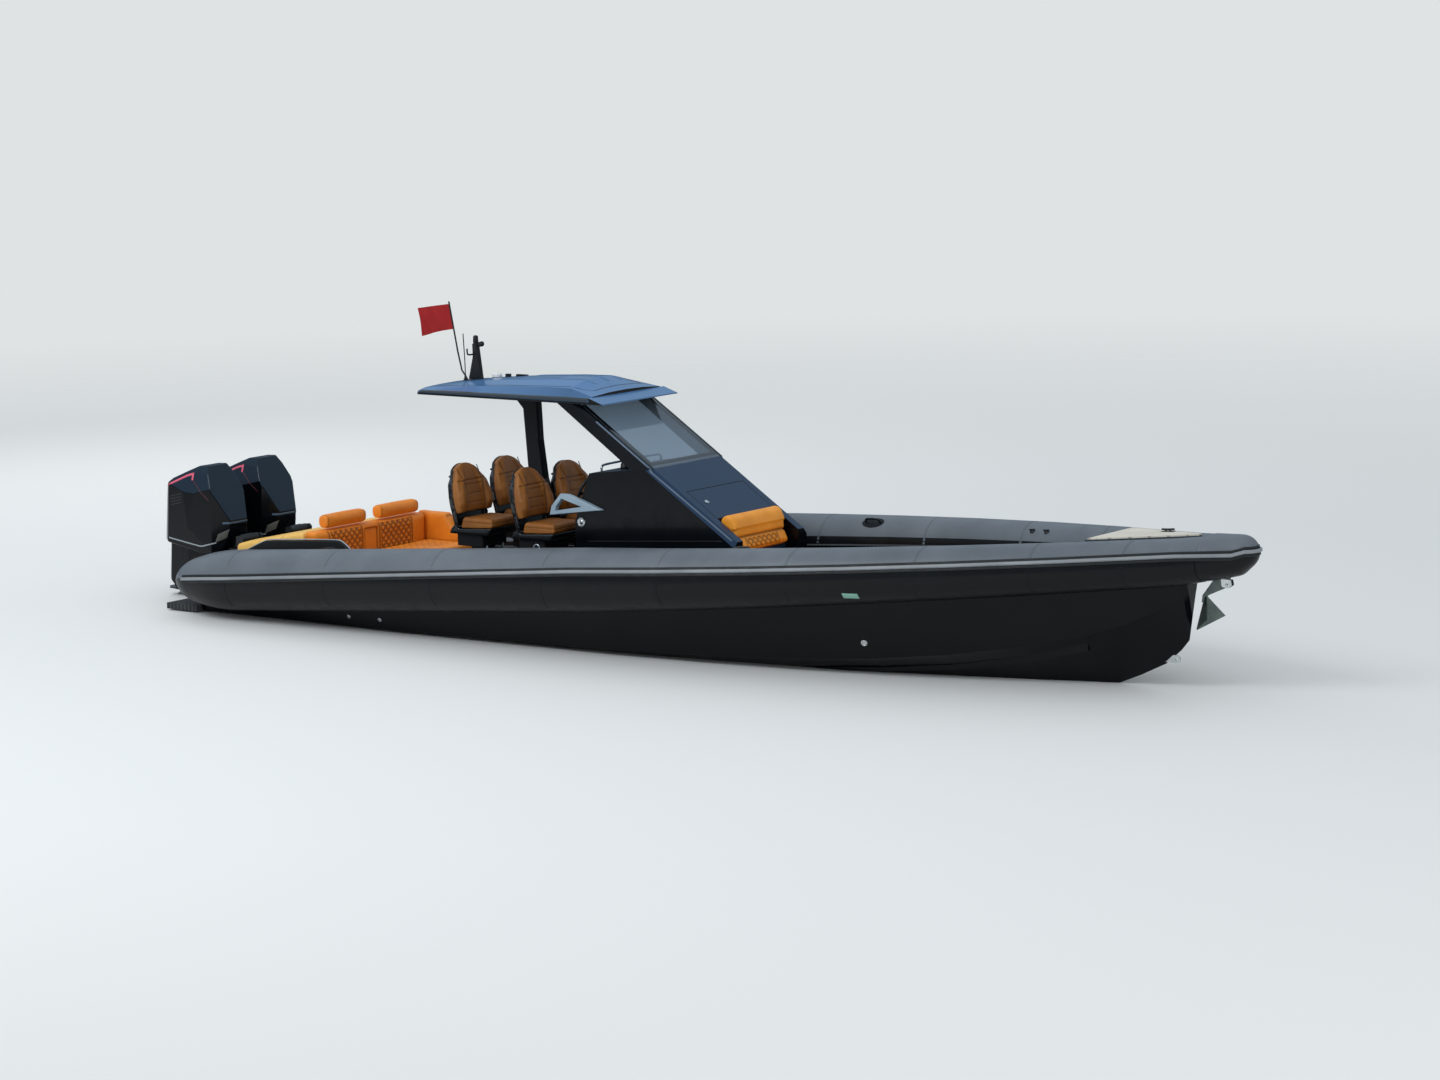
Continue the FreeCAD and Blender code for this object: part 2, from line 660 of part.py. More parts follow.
def front_seat_back():
    """The pad on the hatch's leaning face, with a round bolster along its head."""
    head = Vector(size("hatch_knee"), 0, slope_height(size("hatch_knee")) - size("knee_drop"))
    foot = Vector(size("hatch_foot"), 0, evaluate(HATCH_LEVEL))
    run, half = head - foot, size("hatch_half") - 30
    pad = leaning_pad(foot + run * 0.05, head - run * 0.12, size("front_pad_thick"), half, size("soft_gap"), 30)
    along = (head - foot).normalize()
    out = Vector(along.z, 0, -along.x)
    radius = size("bolster_radius")
    centre = head - along * BOLSTER_DOWN + out * (radius + size("soft_gap"))
    roll = Part.makeCylinder(radius, 2 * half, centre - Vector(0, half, 0), Vector(0, 1, 0))
    roll = roll.makeFillet(0.4 * radius, [roll.Edges[0], roll.Edges[2]])
    return pad.fuse(roll).removeSplitter()


solid_node("front_seat_back", front_seat_back())
node(block("front_base", "sizes.front_seat_end - sizes.console_front - sizes.seat_gap", "2 * sizes.hatch_half - 20",
           "sizes.front_seat_height - sizes.sole_height - sizes.seat_gap", "sizes.console_front + sizes.seat_gap",
           "10 - sizes.hatch_half", FLOOR), "front_seat_base")
node(soft_block("front_cushion", "sizes.front_seat_end - sizes.front_seat_back", "2 * sizes.hatch_half - 20",
                "sizes.cushion_thick", "sizes.front_seat_back", "10 - sizes.hatch_half",
                "sizes.front_seat_height + sizes.soft_gap", 34), "front_seat_cushion")


# Windscreen: two raked pillars with bevelled outer edges, and the glass between, all on the
# console's front plane
def plane_x(z):
    return size("console_brow") - (z - size("console_brow_top")) / FRONT_SLOPE


def pillar():
    top, foot = size("roof_under") - size("seat_gap"), size("console_brow_top") + size("seat_gap")
    lap = size("console_top_end_height") + size("seat_gap")
    outer, depth = size("console_half"), size("pillar_depth")
    rows = [(plane_x(top) - depth, top), (plane_x(top), top), (size("console_brow"), foot),
            (size("console_brow") - depth, lap)]
    body = prism([(x, outer, z) for x, z in rows], (0, -size("pillar_thick"), 0))
    front = [edge for edge in body.Edges if edge.CenterOfMass.y > outer - 1 and abs(edge_slope(edge)) > 0.5
             and edge.CenterOfMass.x > plane_x(edge.CenterOfMass.z) - 1]
    return body.makeChamfer(size("pillar_bevel"), front)


pillar_port = pillar()
solid_node("windscreen_pillars", Part.makeCompound([pillar_port, mirror_y(pillar_port)]))


def windscreen_glass():
    run = size("glass_thick") * math.hypot(1, FRONT_SLOPE) / FRONT_SLOPE
    foot, top = size("console_brow_top") + 2 * size("seat_gap"), size("roof_under") - size("seat_gap")
    half = size("console_half") - size("pillar_thick") - size("seat_gap")
    rows = [(plane_x(foot) - run, foot), (plane_x(foot), foot), (plane_x(top), top), (plane_x(top) - run, top)]
    return prism([(x, -half, z) for x, z in rows], (0, 2 * half, 0))


solid_node("windscreen_glass", windscreen_glass())

# Hardtop: cross sections from stern to visor. Each has an upright lip, a shoulder and a crown.
ROOF_SECTIONS = [
    # x, shoulder half breadth, shoulder height, crown height over the underside
    (-3150, 470, 58, 72),
    (-2700, 440, 86, 122),
    (-2200, 425, 112, 165),
    (-1700, 430, 126, 193),
    (-1360, 450, 128, 200),
    (-1040, 520, 68, 92),
]
ROOF_LIP, ROOF_EDGE_RISE = 22, 38


def roof_section(x, shoulder, shoulder_rise, crown_rise):
    half, under = size("roof_half"), size("roof_under")
    side = [(half, 0), (half, ROOF_LIP), (half - 18, ROOF_EDGE_RISE), (shoulder, shoulder_rise)]
    crown = [(0.5 * shoulder, shoulder_rise + 0.78 * (crown_rise - shoulder_rise)), (0, crown_rise)]
    rows = side + crown + [(-y, z) for y, z in reversed(side + crown[:1])]
    return wire([(x, y, under + z) for y, z in rows])


def hardtop():
    """The crowned top, and the visor that slopes down from its front edge."""
    top = Part.makeLoft([roof_section(*row) for row in ROOF_SECTIONS], True, True)
    front, back, half = size("roof_front"), ROOF_SECTIONS[-1][0], size("roof_half")
    under = size("roof_under")
    rows = [(back, under), (front, under), (front - 12, under + 10), (back, under + size("visor_rise"))]
    visor = prism([(x, -half, z) for x, z in rows], (0, 2 * half, 0))
    return top.fuse(visor).removeSplitter()


hardtop_shape = hardtop()
solid_node("hardtop", hardtop_shape)


# The roof's leg stands between the seats, and each wing is a handhold beside the helm
def roof_leg():
    top, foot = size("roof_under") - size("seat_gap"), size("sole_height") + size("seat_gap")
    rows = [(-2420, top), (-2110, top), (-2090, 1800), (-2040, 1430), (-1955, 1180), (-1925, foot + 40),
            (-1870, foot), (-2270, foot), (-2215, foot + 40), (-2215, 1180), (-2250, 1650), (-2285, 2110)]
    half = size("leg_half")
    body = prism([(x, -half, z) for x, z in rows], (0, 2 * half, 0))
    upright = [edge for edge in body.Edges if abs(edge.CenterOfMass.y) > half - 1
               and foot + 60 < edge.CenterOfMass.z < top - 120]
    return body.makeFillet(0.4 * half, upright)


solid_node("roof_leg", roof_leg())
WING = [(-1512, 1181), (-1490, 1268), (-1378, 1392), (-1290, 1390), (-1096, 1334), (-890, 1264)]
WING_HOLE = [(-1442, 1226), (-1436, 1262), (-1366, 1344), (-1130, 1282)]


def console_wing():
    y = size("console_half") + size("seat_gap")
    body = prism([(x, y, z) for x, z in WING], (0, size("wing_thick"), 0))
    body = body.cut(prism([(x, y - 10, z) for x, z in WING_HOLE], (0, size("wing_thick") + 20, 0)))
    return body.makeFillet(7, [edge for edge in body.Edges if edge.CenterOfMass.y > y + size("wing_thick") - 1])


wing = console_wing()
solid_node("console_wings", Part.makeCompound([wing, mirror_y(wing)]))

# Mast, roof fittings, flag staff and flag
def crown_at(x):
    """Height of the hardtop's crown line."""
    for (a, _, _, low), (b, _, _, high) in zip(ROOF_SECTIONS, ROOF_SECTIONS[1:]):
        if x <= b:
            return size("roof_under") + low + (high - low) * (x - a) / (b - a)
    return size("roof_under") + ROOF_SECTIONS[-1][3]


roof_clear = hardtop_shape.copy()
roof_clear.Placement = Placement(Vector(0, 0, size("seat_gap")), Rotation())


def on_roof(shape):
    """What is left of a shape above the hardtop, clear of it."""
    return largest(shape.cut(roof_clear))


def mast():
    x, top = size("mast_x"), size("mast_top")
    low = crown_at(x) - 20
    body = prism([(x - 40, -28, low), (x + 60, -28, low), (x + 10, -28, top), (x - 45, -28, top)], (0, 56, 0))
    body = body.makeFillet(12, [edge for edge in body.Edges if edge.Length > 150])
    lamp = Part.makeCylinder(26, 44, Vector(x - 16, 0, top))
    return on_roof(body.fuse(lamp))


solid_node("mast", mast())
DOME, PUCK, BAR = Vector(-2700, 90, 0), Vector(-2560, 90, 0), Vector(-2440, 60, 0)


def roof_fittings():
    dome = Part.makeCylinder(48, 70, Vector(DOME.x, DOME.y, crown_at(DOME.x) - 40))
    dome = dome.makeFillet(22, dome.Edges[:1])
    puck = Part.makeCylinder(30, 56, Vector(PUCK.x, PUCK.y, crown_at(PUCK.x) - 30))
    bar = Part.makeBox(130, 34, 46, Vector(BAR.x, BAR.y, crown_at(BAR.x) - 26))
    return Part.makeCompound([on_roof(shape) for shape in (dome, puck, bar)])


solid_node("roof_fittings", roof_fittings())
STAFF = [Vector(-3012, 0, 2300), Vector(-3012, 0, 2358), Vector(-3073, 0, 2434), Vector(-3117, 0, 2609),
         Vector(-3213, 0, 3096)]


def staff():
    """Bent tube: out of the roof, aft and up, from a round foot."""
    radius = size("staff_radius")
    pieces = [Part.makeCylinder(20, STAFF[1].z - STAFF[0].z - 10, STAFF[0])]
    for a, b in zip(STAFF, STAFF[1:]):
        pieces.append(Part.makeCylinder(radius, a.distanceToPoint(b), a, b - a))
        pieces.append(Part.makeSphere(radius, b))
    return on_roof(pieces[0].fuse(pieces[1:]))


solid_node("flag_staff", staff())


def flag():
    low, top = STAFF[-2:]
    along = (top - low).normalize()
    hoist_top = top - along * 20
    hoist_low = hoist_top - along * size("flag_hoist")
    fly = Vector(-1, 0, -0.12).normalize() * size("flag_fly")
    gap = Vector(-size("staff_radius") - 1, 0, 0)
    half = size("flag_thick") / 2
    rows = [hoist_low + gap, hoist_top + gap, hoist_top + gap + fly, hoist_low + gap + fly]
    face = Part.Face(Part.makePolygon([p + Vector(0, -half, 0) for p in rows + rows[:1]]))
    return face.extrude(Vector(0, 2 * half, 0))


solid_node("flag", flag())

# Helm: wheel on its column, throttle box and instrument panel
helm_lean = math.atan2(size("console_back") - size("console_back_low"),
                       size("console_back_top") - size("console_knee"))
helm_out = Vector(-math.cos(helm_lean), 0, math.sin(helm_lean))
share = (size("wheel_z") - size("console_knee")) / (size("console_back_top") - size("console_knee"))
helm_face = Vector(size("console_back_low") + share * (size("console_back") - size("console_back_low")),
                   size("wheel_y"), size("wheel_z"))
column_length = size("wheel_standoff")
solid_node("helm_column", Part.makeCylinder(34, column_length - 0.3, helm_face + helm_out * 0.3, helm_out))
wheel_centre = helm_face + helm_out * (column_length + 13.5)


def wheel():
    radius, tube = size("wheel_radius"), size("wheel_tube")
    rim = Part.makeTorus(radius, tube)
    hub = Part.makeCylinder(size("wheel_hub"), 26, Vector(0, 0, -13))
    body = rim.fuse(hub)
    for i in range(3):
        spoke = Part.makeBox(radius - 20, 34, 8, Vector(20, -17, -4))
        spoke.rotate(Vector(0, 0, 0), Vector(0, 0, 1), 30 + 120 * i)
        body = body.fuse(spoke)
    return body


solid_node("helm_wheel", wheel(), Placement(wheel_centre, Rotation(Vector(0, 0, 1), helm_out)))


def helm_block(low_share, high_share, y, half, thick):
    """A flat block on the leaning helm face."""
    low = Vector(size("console_back_low"), y, size("console_knee")) + helm_out * size("seat_gap")
    high = Vector(size("console_back"), y, size("console_back_top")) + helm_out * size("seat_gap")
    a, b = low + (high - low) * low_share, low + (high - low) * high_share
    rows = [a, b, b + helm_out * thick, a + helm_out * thick]
    face = Part.Face(Part.makePolygon([p + Vector(0, -half, 0) for p in rows + rows[:1]]))
    return face.extrude(Vector(0, 2 * half, 0))


solid_node("helm_display", helm_block(0.62, 0.97, 0, 300, 14))


def throttle():
    body = helm_block(0.02, 0.22, 60, 60, 70)
    middle = body.CenterOfMass
    for y in (-24, 24):
        stem = Part.makeCylinder(7, 150, middle + Vector(-10, y, 20), Vector(-0.35, 0, 1))
        knob = Part.makeSphere(17, middle + Vector(-10, y, 20) + Vector(-0.35, 0, 1).normalize() * 150)
        body = body.fuse([stem, knob])
    return body


solid_node("throttle", throttle())

# Four helm seats: a shell on a pan, a back that narrows to its head, a cushion and a pedestal each
seat_places = [(size("seat_row_front") - row * size("seat_pitch"), side * size("seat_spread") / 2)
               for row in (0, 1) for side in (1, -1)]
PAN = [(60, 0), (560, 0), (596, 60), (590, 78), (168, 52), (150, 70), (100, 70), (70, 20)]
BACK_FOOT, BACK_HEAD = Vector(150, 0, 62), Vector(36, 0, 648)
BACK_LEAN = (BACK_HEAD - BACK_FOOT).normalize()
BACK_OUT = Vector(BACK_LEAN.z, 0, -BACK_LEAN.x)
BACK_ROWS = [
    # share of the back's length, half breadth, thickness, how far the side bolsters stand proud
    (0.21, 230, 88, 24),
    (0.34, 240, 104, 48),
    (0.49, 240, 104, 54),
    (0.75, 214, 92, 36),
    (0.99, 172, 64, 8),
]
SHELL_ROWS = [(0.0, 236), (0.21, 244), (0.34, 254), (0.49, 254), (0.75, 228), (1.04, 184)]
SHELL_THICK, SHELL_SIDE, SHELL_WRAP = 26, 14, 46


def back_point(share, y, out):
    return BACK_FOOT + (BACK_HEAD - BACK_FOOT) * share + BACK_OUT * out + Vector(0, y, 0)


def back_loft(sections):
    return Part.makeLoft([wire([back_point(share, y, out) for y, out in row]) for share, row in sections],
                         True, True)


def seat_back():
    sections = []
    for share, half, thick, proud in BACK_ROWS:
        inner, gap = half - 74, size("soft_gap")
        side = [(half, 14), (half, thick + 0.6 * proud), (half - 26, thick + proud), (inner - 10, thick + proud),
                (inner - 40, thick)]
        row = [(half - 14, gap)] + side
        sections.append((share, row + [(-y, out) for y, out in reversed(row)]))
    return back_loft(sections)


def seat_shell():
    """The moulded back, wrapped a little round the cushion's sides, on the pan."""
    sections = []
    for share, half in SHELL_ROWS:
        row = [(half - SHELL_SIDE - 1, 0), (half - SHELL_SIDE + 2, 14), (half - SHELL_SIDE + 2, SHELL_WRAP),
               (half, SHELL_WRAP), (half, -6), (half - 24, -SHELL_THICK)]
        sections.append((share, row + [(-y, out) for y, out in reversed(row)]))
    pan = prism([(a, -236, b) for a, b in PAN], (0, 472, 0))
    shell = back_loft(sections)
    return largest(shell.fuse(pan).removeSplitter())


def at_seats(shape):
    copies = []
    for x, y in seat_places:
        copy = shape.copy()
        copy.Placement = Placement(Vector(x, y, size("seat_floor")), Rotation())
        copies.append(copy)
    return Part.makeCompound(copies)


def seat_bottom():
    rows = [(186, 54.9), (588, 78.6), (606, 120), (585, 172), (214, 168)]
    body = prism([(a, -222, b) for a, b in rows], (0, 444, 0))
    return body.makeFillet(18, [edge for edge in body.Edges if edge.Length > 60])


solid_node("seat_shells", at_seats(seat_shell()))
solid_node("seat_backs", at_seats(seat_back()))
solid_node("seat_bottoms", at_seats(seat_bottom()))


def pedestal(x, y):
    sole, floor = size("sole_height") + 0.3, size("seat_floor") - 0.3
    plate = Part.makeBox(340, 340, 14, Vector(x + 130, y - 170, sole))
    column = Part.makeBox(170, 150, floor - sole, Vector(x + 215, y - 75, sole))
    pod = Part.makeBox(330, 380, 110, Vector(x + 120, y - 190, floor - 110))
    pod = pod.makeFillet(30, [e for e in pod.Edges if abs(e.Vertexes[0].Z - e.Vertexes[1].Z) > 50])
    return plate.fuse([column, pod])


solid_node("seat_pedestals", Part.makeCompound([pedestal(x, y) for x, y in seat_places]))

# Aft lounge: bench with a return to port, headrest rolls, and the sunpad on its sloping base
def aft_module():
    half = size("cockpit_half") - size("seat_gap")
    sole, low = size("sole_height") + size("seat_gap"), size("module_low")
    front, back = size("cockpit_aft") + size("seat_gap"), size("module_back")
    step = axis_height(front) + size("deck_over_axis") + 20
    rows = [(front, sole), (front, step), (back, step), (back, low),
            (size("bench_back"), low + size("module_rise")), (size("bench_back"), sole)]
    return prism([(x, -half, z) for x, z in rows], (0, 2 * half, 0))


solid_node("aft_module", aft_module())
node(block("bench_base", "sizes.bench_depth - sizes.seat_gap", "2 * sizes.bench_half",
           "sizes.bench_height - sizes.sole_height - sizes.seat_gap", "sizes.bench_back + sizes.seat_gap",
           "-sizes.bench_half", FLOOR), "bench_base")
node(soft_block("bench_cushion", "sizes.bench_depth - sizes.bench_pad - 20",
                "2 * sizes.bench_half - sizes.return_width - 20", "sizes.cushion_thick",
                "sizes.bench_back + sizes.bench_pad + 10", "10 - sizes.bench_half",
                "sizes.bench_height + sizes.soft_gap", 30), "bench_seat_cushion")
back_pad = soft_block("bench_back_pad", "sizes.bench_pad", "2 * sizes.bench_half - sizes.return_width - 20",
                      "sizes.bench_back_top - sizes.bench_height - sizes.soft_gap",
                      "sizes.bench_back + sizes.soft_gap", "20 - sizes.bench_half",
                      "sizes.bench_height + sizes.soft_gap", 30)
doc.recompute()


def return_pad():
    """The backrest's port end, which steps down into an armrest along the bench."""
    back, foot = size("bench_back") + size("soft_gap"), size("bench_height") + size("soft_gap")
    front, arm = size("bench_back") + size("bench_depth"), size("bench_height") + 0.5 * size("return_height")
    top, shoulder = size("bench_back_top"), back + size("return_length")
    rows = [(back, foot), (back, top), (shoulder, top), (shoulder + 120, arm + 25), (front, arm), (front, foot)]
    outer = size("bench_half") - 5
    body = prism([(x, outer, z) for x, z in rows], (0, 12 - size("return_width"), 0))
    return body.makeFillet(22, body.Edges)


solid_node("bench_back_cushions", Part.makeCompound([back_pad.Shape, return_pad()]))


def headrest(y):
    z = size("bench_back_top") + size("soft_gap") + size("roll_radius")
    x = size("bench_back") + 0.5 * size("bench_pad")
    return Part.makeCylinder(size("roll_radius"), size("roll_length"), Vector(x, y, z), Vector(0, 1, 0))


rolls = []
for y in (-size("roll_gap") / 2 - size("roll_length"), size("roll_gap") / 2):
    roll = headrest(y)
    rolls.append(roll.makeFillet(30, roll.Edges[:1] + roll.Edges[2:]))
solid_node("headrest_rolls", Part.makeCompound(rolls))


def sunpad():
    half = size("cockpit_half") - 40
    foot = Vector(size("module_back"), 0, size("module_low"))
    head = Vector(size("bench_back"), 0, size("module_low") + size("module_rise"))
    along = (head - foot).normalize()
    out = Vector(-along.z, 0, along.x)
    foot, head = foot + along * 20 + out * size("soft_gap"), head - along * 12 + out * size("soft_gap")
    thick = size("sunpad_thick")
    rows = [foot, foot + out * thick, head + out * thick, head]
    face = Part.Face(Part.makePolygon([p + Vector(0, -half, 0) for p in rows + rows[:1]]))
    pad = face.extrude(Vector(0, 2 * half, 0))
    return pad.makeFillet(28, pad.Edges)


solid_node("sunpad", sunpad())

# Engines. Each piece is drawn upright round its tilt tube, then set at the rest trim.
CLAMP = [(-35, -30), (-35, 35), (35, 45), (59.7, 20), (59.7, -330), (30, -330), (-20, -120)]
SWIVEL = [(-40, 42), (30, 38), (10, -120), (-110, -500), (-170, -500), (-170, -216), (-110, -100)]
COWL_SIDE = [(-140, 175), (-441, 705), (-560, 690), (-860, 535), (-945, 462), (-980, -126), (-439, -192),
             (-215, -150), (-150, 0)]
COWL_PLAN = [(-120, 110), (-300, 235), (-600, 270), (-900, 240), (-995, 170)]
COWL_FRONT = [(225, -210), (270, 60), (262, 420), (190, 620), (120, 730)]
LEG_SIDE = [(-975, -127), (-439, -193), (-300, -168), (-300, -610), (-350, -624), (-880, -624),
            (-900, -590), (-985, -520)]
LEG_PLAN = [(-290, 60), (-420, 120), (-700, 150), (-950, 130), (-1000, 90)]
SKEG = [(-430, -900), (-700, -900), (-790, -1090), (-660, -1090)]


def side_prism(rows, half):
    return prism([(a, -half, b) for a, b in rows], (0, 2 * half, 0))


def plan_prism(rows, low, high):
    plan = [(a, b, low) for a, b in rows] + [(a, -b, low) for a, b in reversed(rows)]
    return prism(plan, (0, 0, high - low))


def front_prism(rows, back, front):
    face = [(back, a, b) for a, b in rows] + [(back, -a, b) for a, b in reversed(rows)]
    return prism(face, (front - back, 0, 0))


COWL_ROUNDING = 22


def cowl():
    body = side_prism(COWL_SIDE, 300).common(plan_prism(COWL_PLAN, -300, 800))
    body = body.common(front_prism(COWL_FRONT, -1100, 0)).removeSplitter()
    return body.makeFillet(COWL_ROUNDING, body.Edges)


def leg():
    body = side_prism(LEG_SIDE, 200).common(plan_prism(LEG_PLAN, -700, 0))
    level, prop = size("plate_level"), size("prop_level")
    plate = plan_prism([(-330, 50), (-480, 140), (-960, 140), (-1010, 90)], level - 6, level + 6.0)
    strut = plan_prism([(-380, 12), (-450, 40), (-680, 40), (-770, 12)], prop, level)
    radius, back, front = size("gearcase_radius"), size("prop_back"), -400
    casing = Part.makeCylinder(radius, front - back, Vector(back, 0, prop), Vector(1, 0, 0))
    snout = Part.makeCone(radius, 22, 110, Vector(front, 0, prop), Vector(1, 0, 0))
    skeg = side_prism([(a, b) for a, b in SKEG], 9)
    shaft_x = -size("steer_back")
    shaft = Part.makeCylinder(size("swivel_shaft"), 400, Vector(shaft_x, 0, -585))
    upper = Part.makeBox(150, 130, 33, Vector(-350, -65, -210))
    lower = Part.makeBox(180, 110, 32, Vector(-350, -55, -602))
    return body.fuse([plate, strut, casing, snout, skeg, shaft, upper, lower]).removeSplitter()


def swivel():
    body = side_prism(SWIVEL, 80)
    sleeve = Part.makeCylinder(52, 348, Vector(-size("steer_back"), 0, -565))
    barrel = Part.makeCylinder(46, 230, Vector(0, -115, 0), Vector(0, 1, 0))
    bridge = Part.makeBox(90, 80, 300, Vector(-190, -40, -520))
    body = body.fuse([sleeve, barrel, bridge])
    shaft_room = Part.makeCylinder(size("swivel_shaft") + size("fit_gap"), 800, Vector(-size("steer_back"), 0, -800))
    tube_room = Part.makeCylinder(size("tilt_tube") + size("fit_gap"), 400, Vector(0, -200, 0), Vector(0, 1, 0))
    return body.cut([shaft_room, tube_room])


def clamp():
    plates = []
    for y in (-150, 120.5):
        plates.append(prism([(a, y, b) for a, b in CLAMP], (0, 29.5, 0)))
    tube = Part.makeCylinder(size("tilt_tube"), 300, Vector(0, -150, 0), Vector(0, 1, 0))
    return plates[0].fuse([plates[1], tube])


def propeller():
    level, back = size("prop_level"), size("prop_back") - size("fit_gap")
    hub = Part.makeCylinder(56, 170, Vector(back, 0, level), Vector(-1, 0, 0))
    reach = size("prop_radius")
    blades = []
    for i in range(3):
        rows = [(-70, 40), (70, 40), (105, 0.62 * reach), (60, 0.95 * reach), (-25, reach * 0.99), (-85, 0.7 * reach)]
        blade = prism([(a, -3.5, b) for a, b in rows], (0, 7, 0))
        blade.rotate(Vector(0, 0, 0), Vector(0, 0, 1), 38)
        blade.translate(Vector(back - 85, 0, level))
        blade.rotate(Vector(0, 0, level), Vector(1, 0, 0), 120 * i)
        blades.append(blade)
    swept = Part.makeCylinder(reach, 400, Vector(back + 60, 0, level), Vector(-1, 0, 0))
    return hub.fuse([blade.common(swept) for blade in blades])


engine_forms = {"cowl": cowl(), "engine_leg": leg(), "swivel": swivel(), "propeller": propeller()}
clamp_form = clamp()
for side, y in (("port", size("engine_half_spacing")), ("starboard", -size("engine_half_spacing"))):
    pivot = Vector(size("pivot_x"), y, size("pivot_z"))
    for form, shape in engine_forms.items():
        solid_node(f"{form}_{side}", shape, Placement(pivot, Rotation(Vector(0, 1, 0), size("rest_trim"))))
    solid_node(f"engine_clamp_{side}", clamp_form, Placement(pivot, Rotation()))

# Bow gear: anchor under the nose, towing eye on the stem; eyes on the transom
ANCHOR_SHANK = [(5436, 1140), (5482, 1140), (5482, 944), (5262, 846), (5242, 790), (5206, 780), (5214, 848),
                (5236, 874)]
FLUKE_HEEL, FLUKE_TIP = Vector(5246, 0, 850), Vector(5158, 0, 536)
FLUKE_WING = Vector(5352, 150, 655)
FLUKE_THICKNESS = Vector(-12, 0, 4)


def anchor():
    """A plough anchor that hangs from the nose by its shank, the tip beside the stem."""
    shank = side_prism(ANCHOR_SHANK, 10)
    blades = []
    for wing in (FLUKE_WING, Vector(FLUKE_WING.x, -FLUKE_WING.y, FLUKE_WING.z)):
        face = Part.Face(Part.makePolygon([FLUKE_HEEL, FLUKE_TIP, wing, FLUKE_HEEL]))
        blades.append(face.extrude(FLUKE_THICKNESS))
    return shank.fuse(blades).removeSplitter()


solid_node("anchor", largest(anchor().cut(bow_nose(size("cap_lap") + size("seat_gap")))))


EYE_PLATE_THICKNESS, EYE_RING = 16, 34


def eye_plate(centre, pin, wide, reach):
    """A lug with a hole along pin, as wide as its ring, that reaches along X to what carries it."""
    back = centre - pin * (EYE_PLATE_THICKNESS / 2)
    rows = [back - wide * EYE_RING, back + wide * EYE_RING]
    rows += [row + Vector(reach, 0, 0) for row in reversed(rows)]
    plate = Part.Face(Part.makePolygon(rows + rows[:1])).extrude(pin * EYE_PLATE_THICKNESS)
    ring = Part.makeCylinder(EYE_RING, EYE_PLATE_THICKNESS, back, pin)
    hole = Part.makeCylinder(size("eye_hole"), 3 * EYE_PLATE_THICKNESS, back - pin * EYE_PLATE_THICKNESS, pin)
    return plate.fuse(ring).cut(hole)


BOW_EYE = Vector(4955, 0, 262)
STERN_EYE_BACK, STERN_EYE_OUT, STERN_EYE_LEVEL = 46, 950, 210
bow_eye = eye_plate(BOW_EYE, Vector(0, 1, 0), Vector(0, 0, 1), -120).cut(hull_shape)
solid_node("bow_eye", max(bow_eye.Solids, key=lambda solid: solid.CenterOfMass.x))
for side, y in (("port", STERN_EYE_OUT), ("starboard", -STERN_EYE_OUT)):
    centre = Vector(size("transom") - STERN_EYE_BACK, y, STERN_EYE_LEVEL)
    eye = eye_plate(centre, Vector(0, 0, 1), Vector(0, 1, 0), STERN_EYE_BACK - size("seat_gap"))
    solid_node(f"stern_eye_{side}", eye)


def cleat(x, y, z):
    horn = Part.makeCylinder(11, 230, Vector(x - 115, y, z + 46), Vector(1, 0, 0))
    legs = [Part.makeCylinder(13, 46, Vector(x + a, y, z)) for a in (-42, 42)]
    foot = Part.makeBox(130, 44, 6, Vector(x - 65, y - 22, z))
    body = horn.fuse(legs + [foot])
    body.rotate(Vector(x, y, z), Vector(0, -1, 0), math.degrees(math.atan(size("tube_axis_rise"))))
    return body


def deck_at(x):
    return axis_height(x) + size("deck_over_axis") + size("seat_gap")


CLEAT_PLACES = [(x, y) for x in (-5050, -1400) for y in (968, -968)]
solid_node("cleats", Part.makeCompound([cleat(x, y, deck_at(x)) for x, y in CLEAT_PLACES]))

doc.recompute()
failed = [o.Name for o in doc.Objects if "Invalid" in o.State or "Error" in o.State]
if failed:
    raise RuntimeError(f"failed objects: {failed}")
os.makedirs("parts", exist_ok=True)
for obj in nodes:
    shape = obj.Shape
    if shape.isNull() or not shape.isValid():
        raise RuntimeError(f"{obj.Label}: bad shape")
    shape.exportStep(os.path.join("parts", f"{obj.Label}.step"))
    box = shape.optimalBoundingBox()
    print(f"{obj.Label:24s} solids {len(shape.Solids):2d}  litres {shape.Volume / 1e6:9.2f}"
          f"  x {box.XMin:7.0f} {box.XMax:7.0f}  y {box.YMin:7.0f} {box.YMax:7.0f}"
          f"  z {box.ZMin:7.0f} {box.ZMax:7.0f}")
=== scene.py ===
"""Looks of the rigid inflatable boat: camera, light, materials and the fine and soft pieces.

Metres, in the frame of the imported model: X to the bow, Y to port, Z up, the waterline at zero.
"""

import bmesh
import bpy
import math
from mathutils import Matrix, Vector
from mathutils.bvhtree import BVHTree


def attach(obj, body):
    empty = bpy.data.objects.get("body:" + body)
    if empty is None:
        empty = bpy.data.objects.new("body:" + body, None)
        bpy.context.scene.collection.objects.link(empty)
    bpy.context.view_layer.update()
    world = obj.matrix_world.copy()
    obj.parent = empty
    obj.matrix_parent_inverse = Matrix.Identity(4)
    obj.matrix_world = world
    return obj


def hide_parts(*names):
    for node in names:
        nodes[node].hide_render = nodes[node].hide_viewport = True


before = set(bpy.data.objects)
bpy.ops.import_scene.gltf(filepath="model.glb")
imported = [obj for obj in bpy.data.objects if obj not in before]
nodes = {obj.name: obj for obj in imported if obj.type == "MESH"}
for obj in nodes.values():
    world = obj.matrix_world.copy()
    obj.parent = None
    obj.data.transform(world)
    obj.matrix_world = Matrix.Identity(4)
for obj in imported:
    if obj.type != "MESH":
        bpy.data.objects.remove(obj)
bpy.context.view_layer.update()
scene = bpy.context.scene

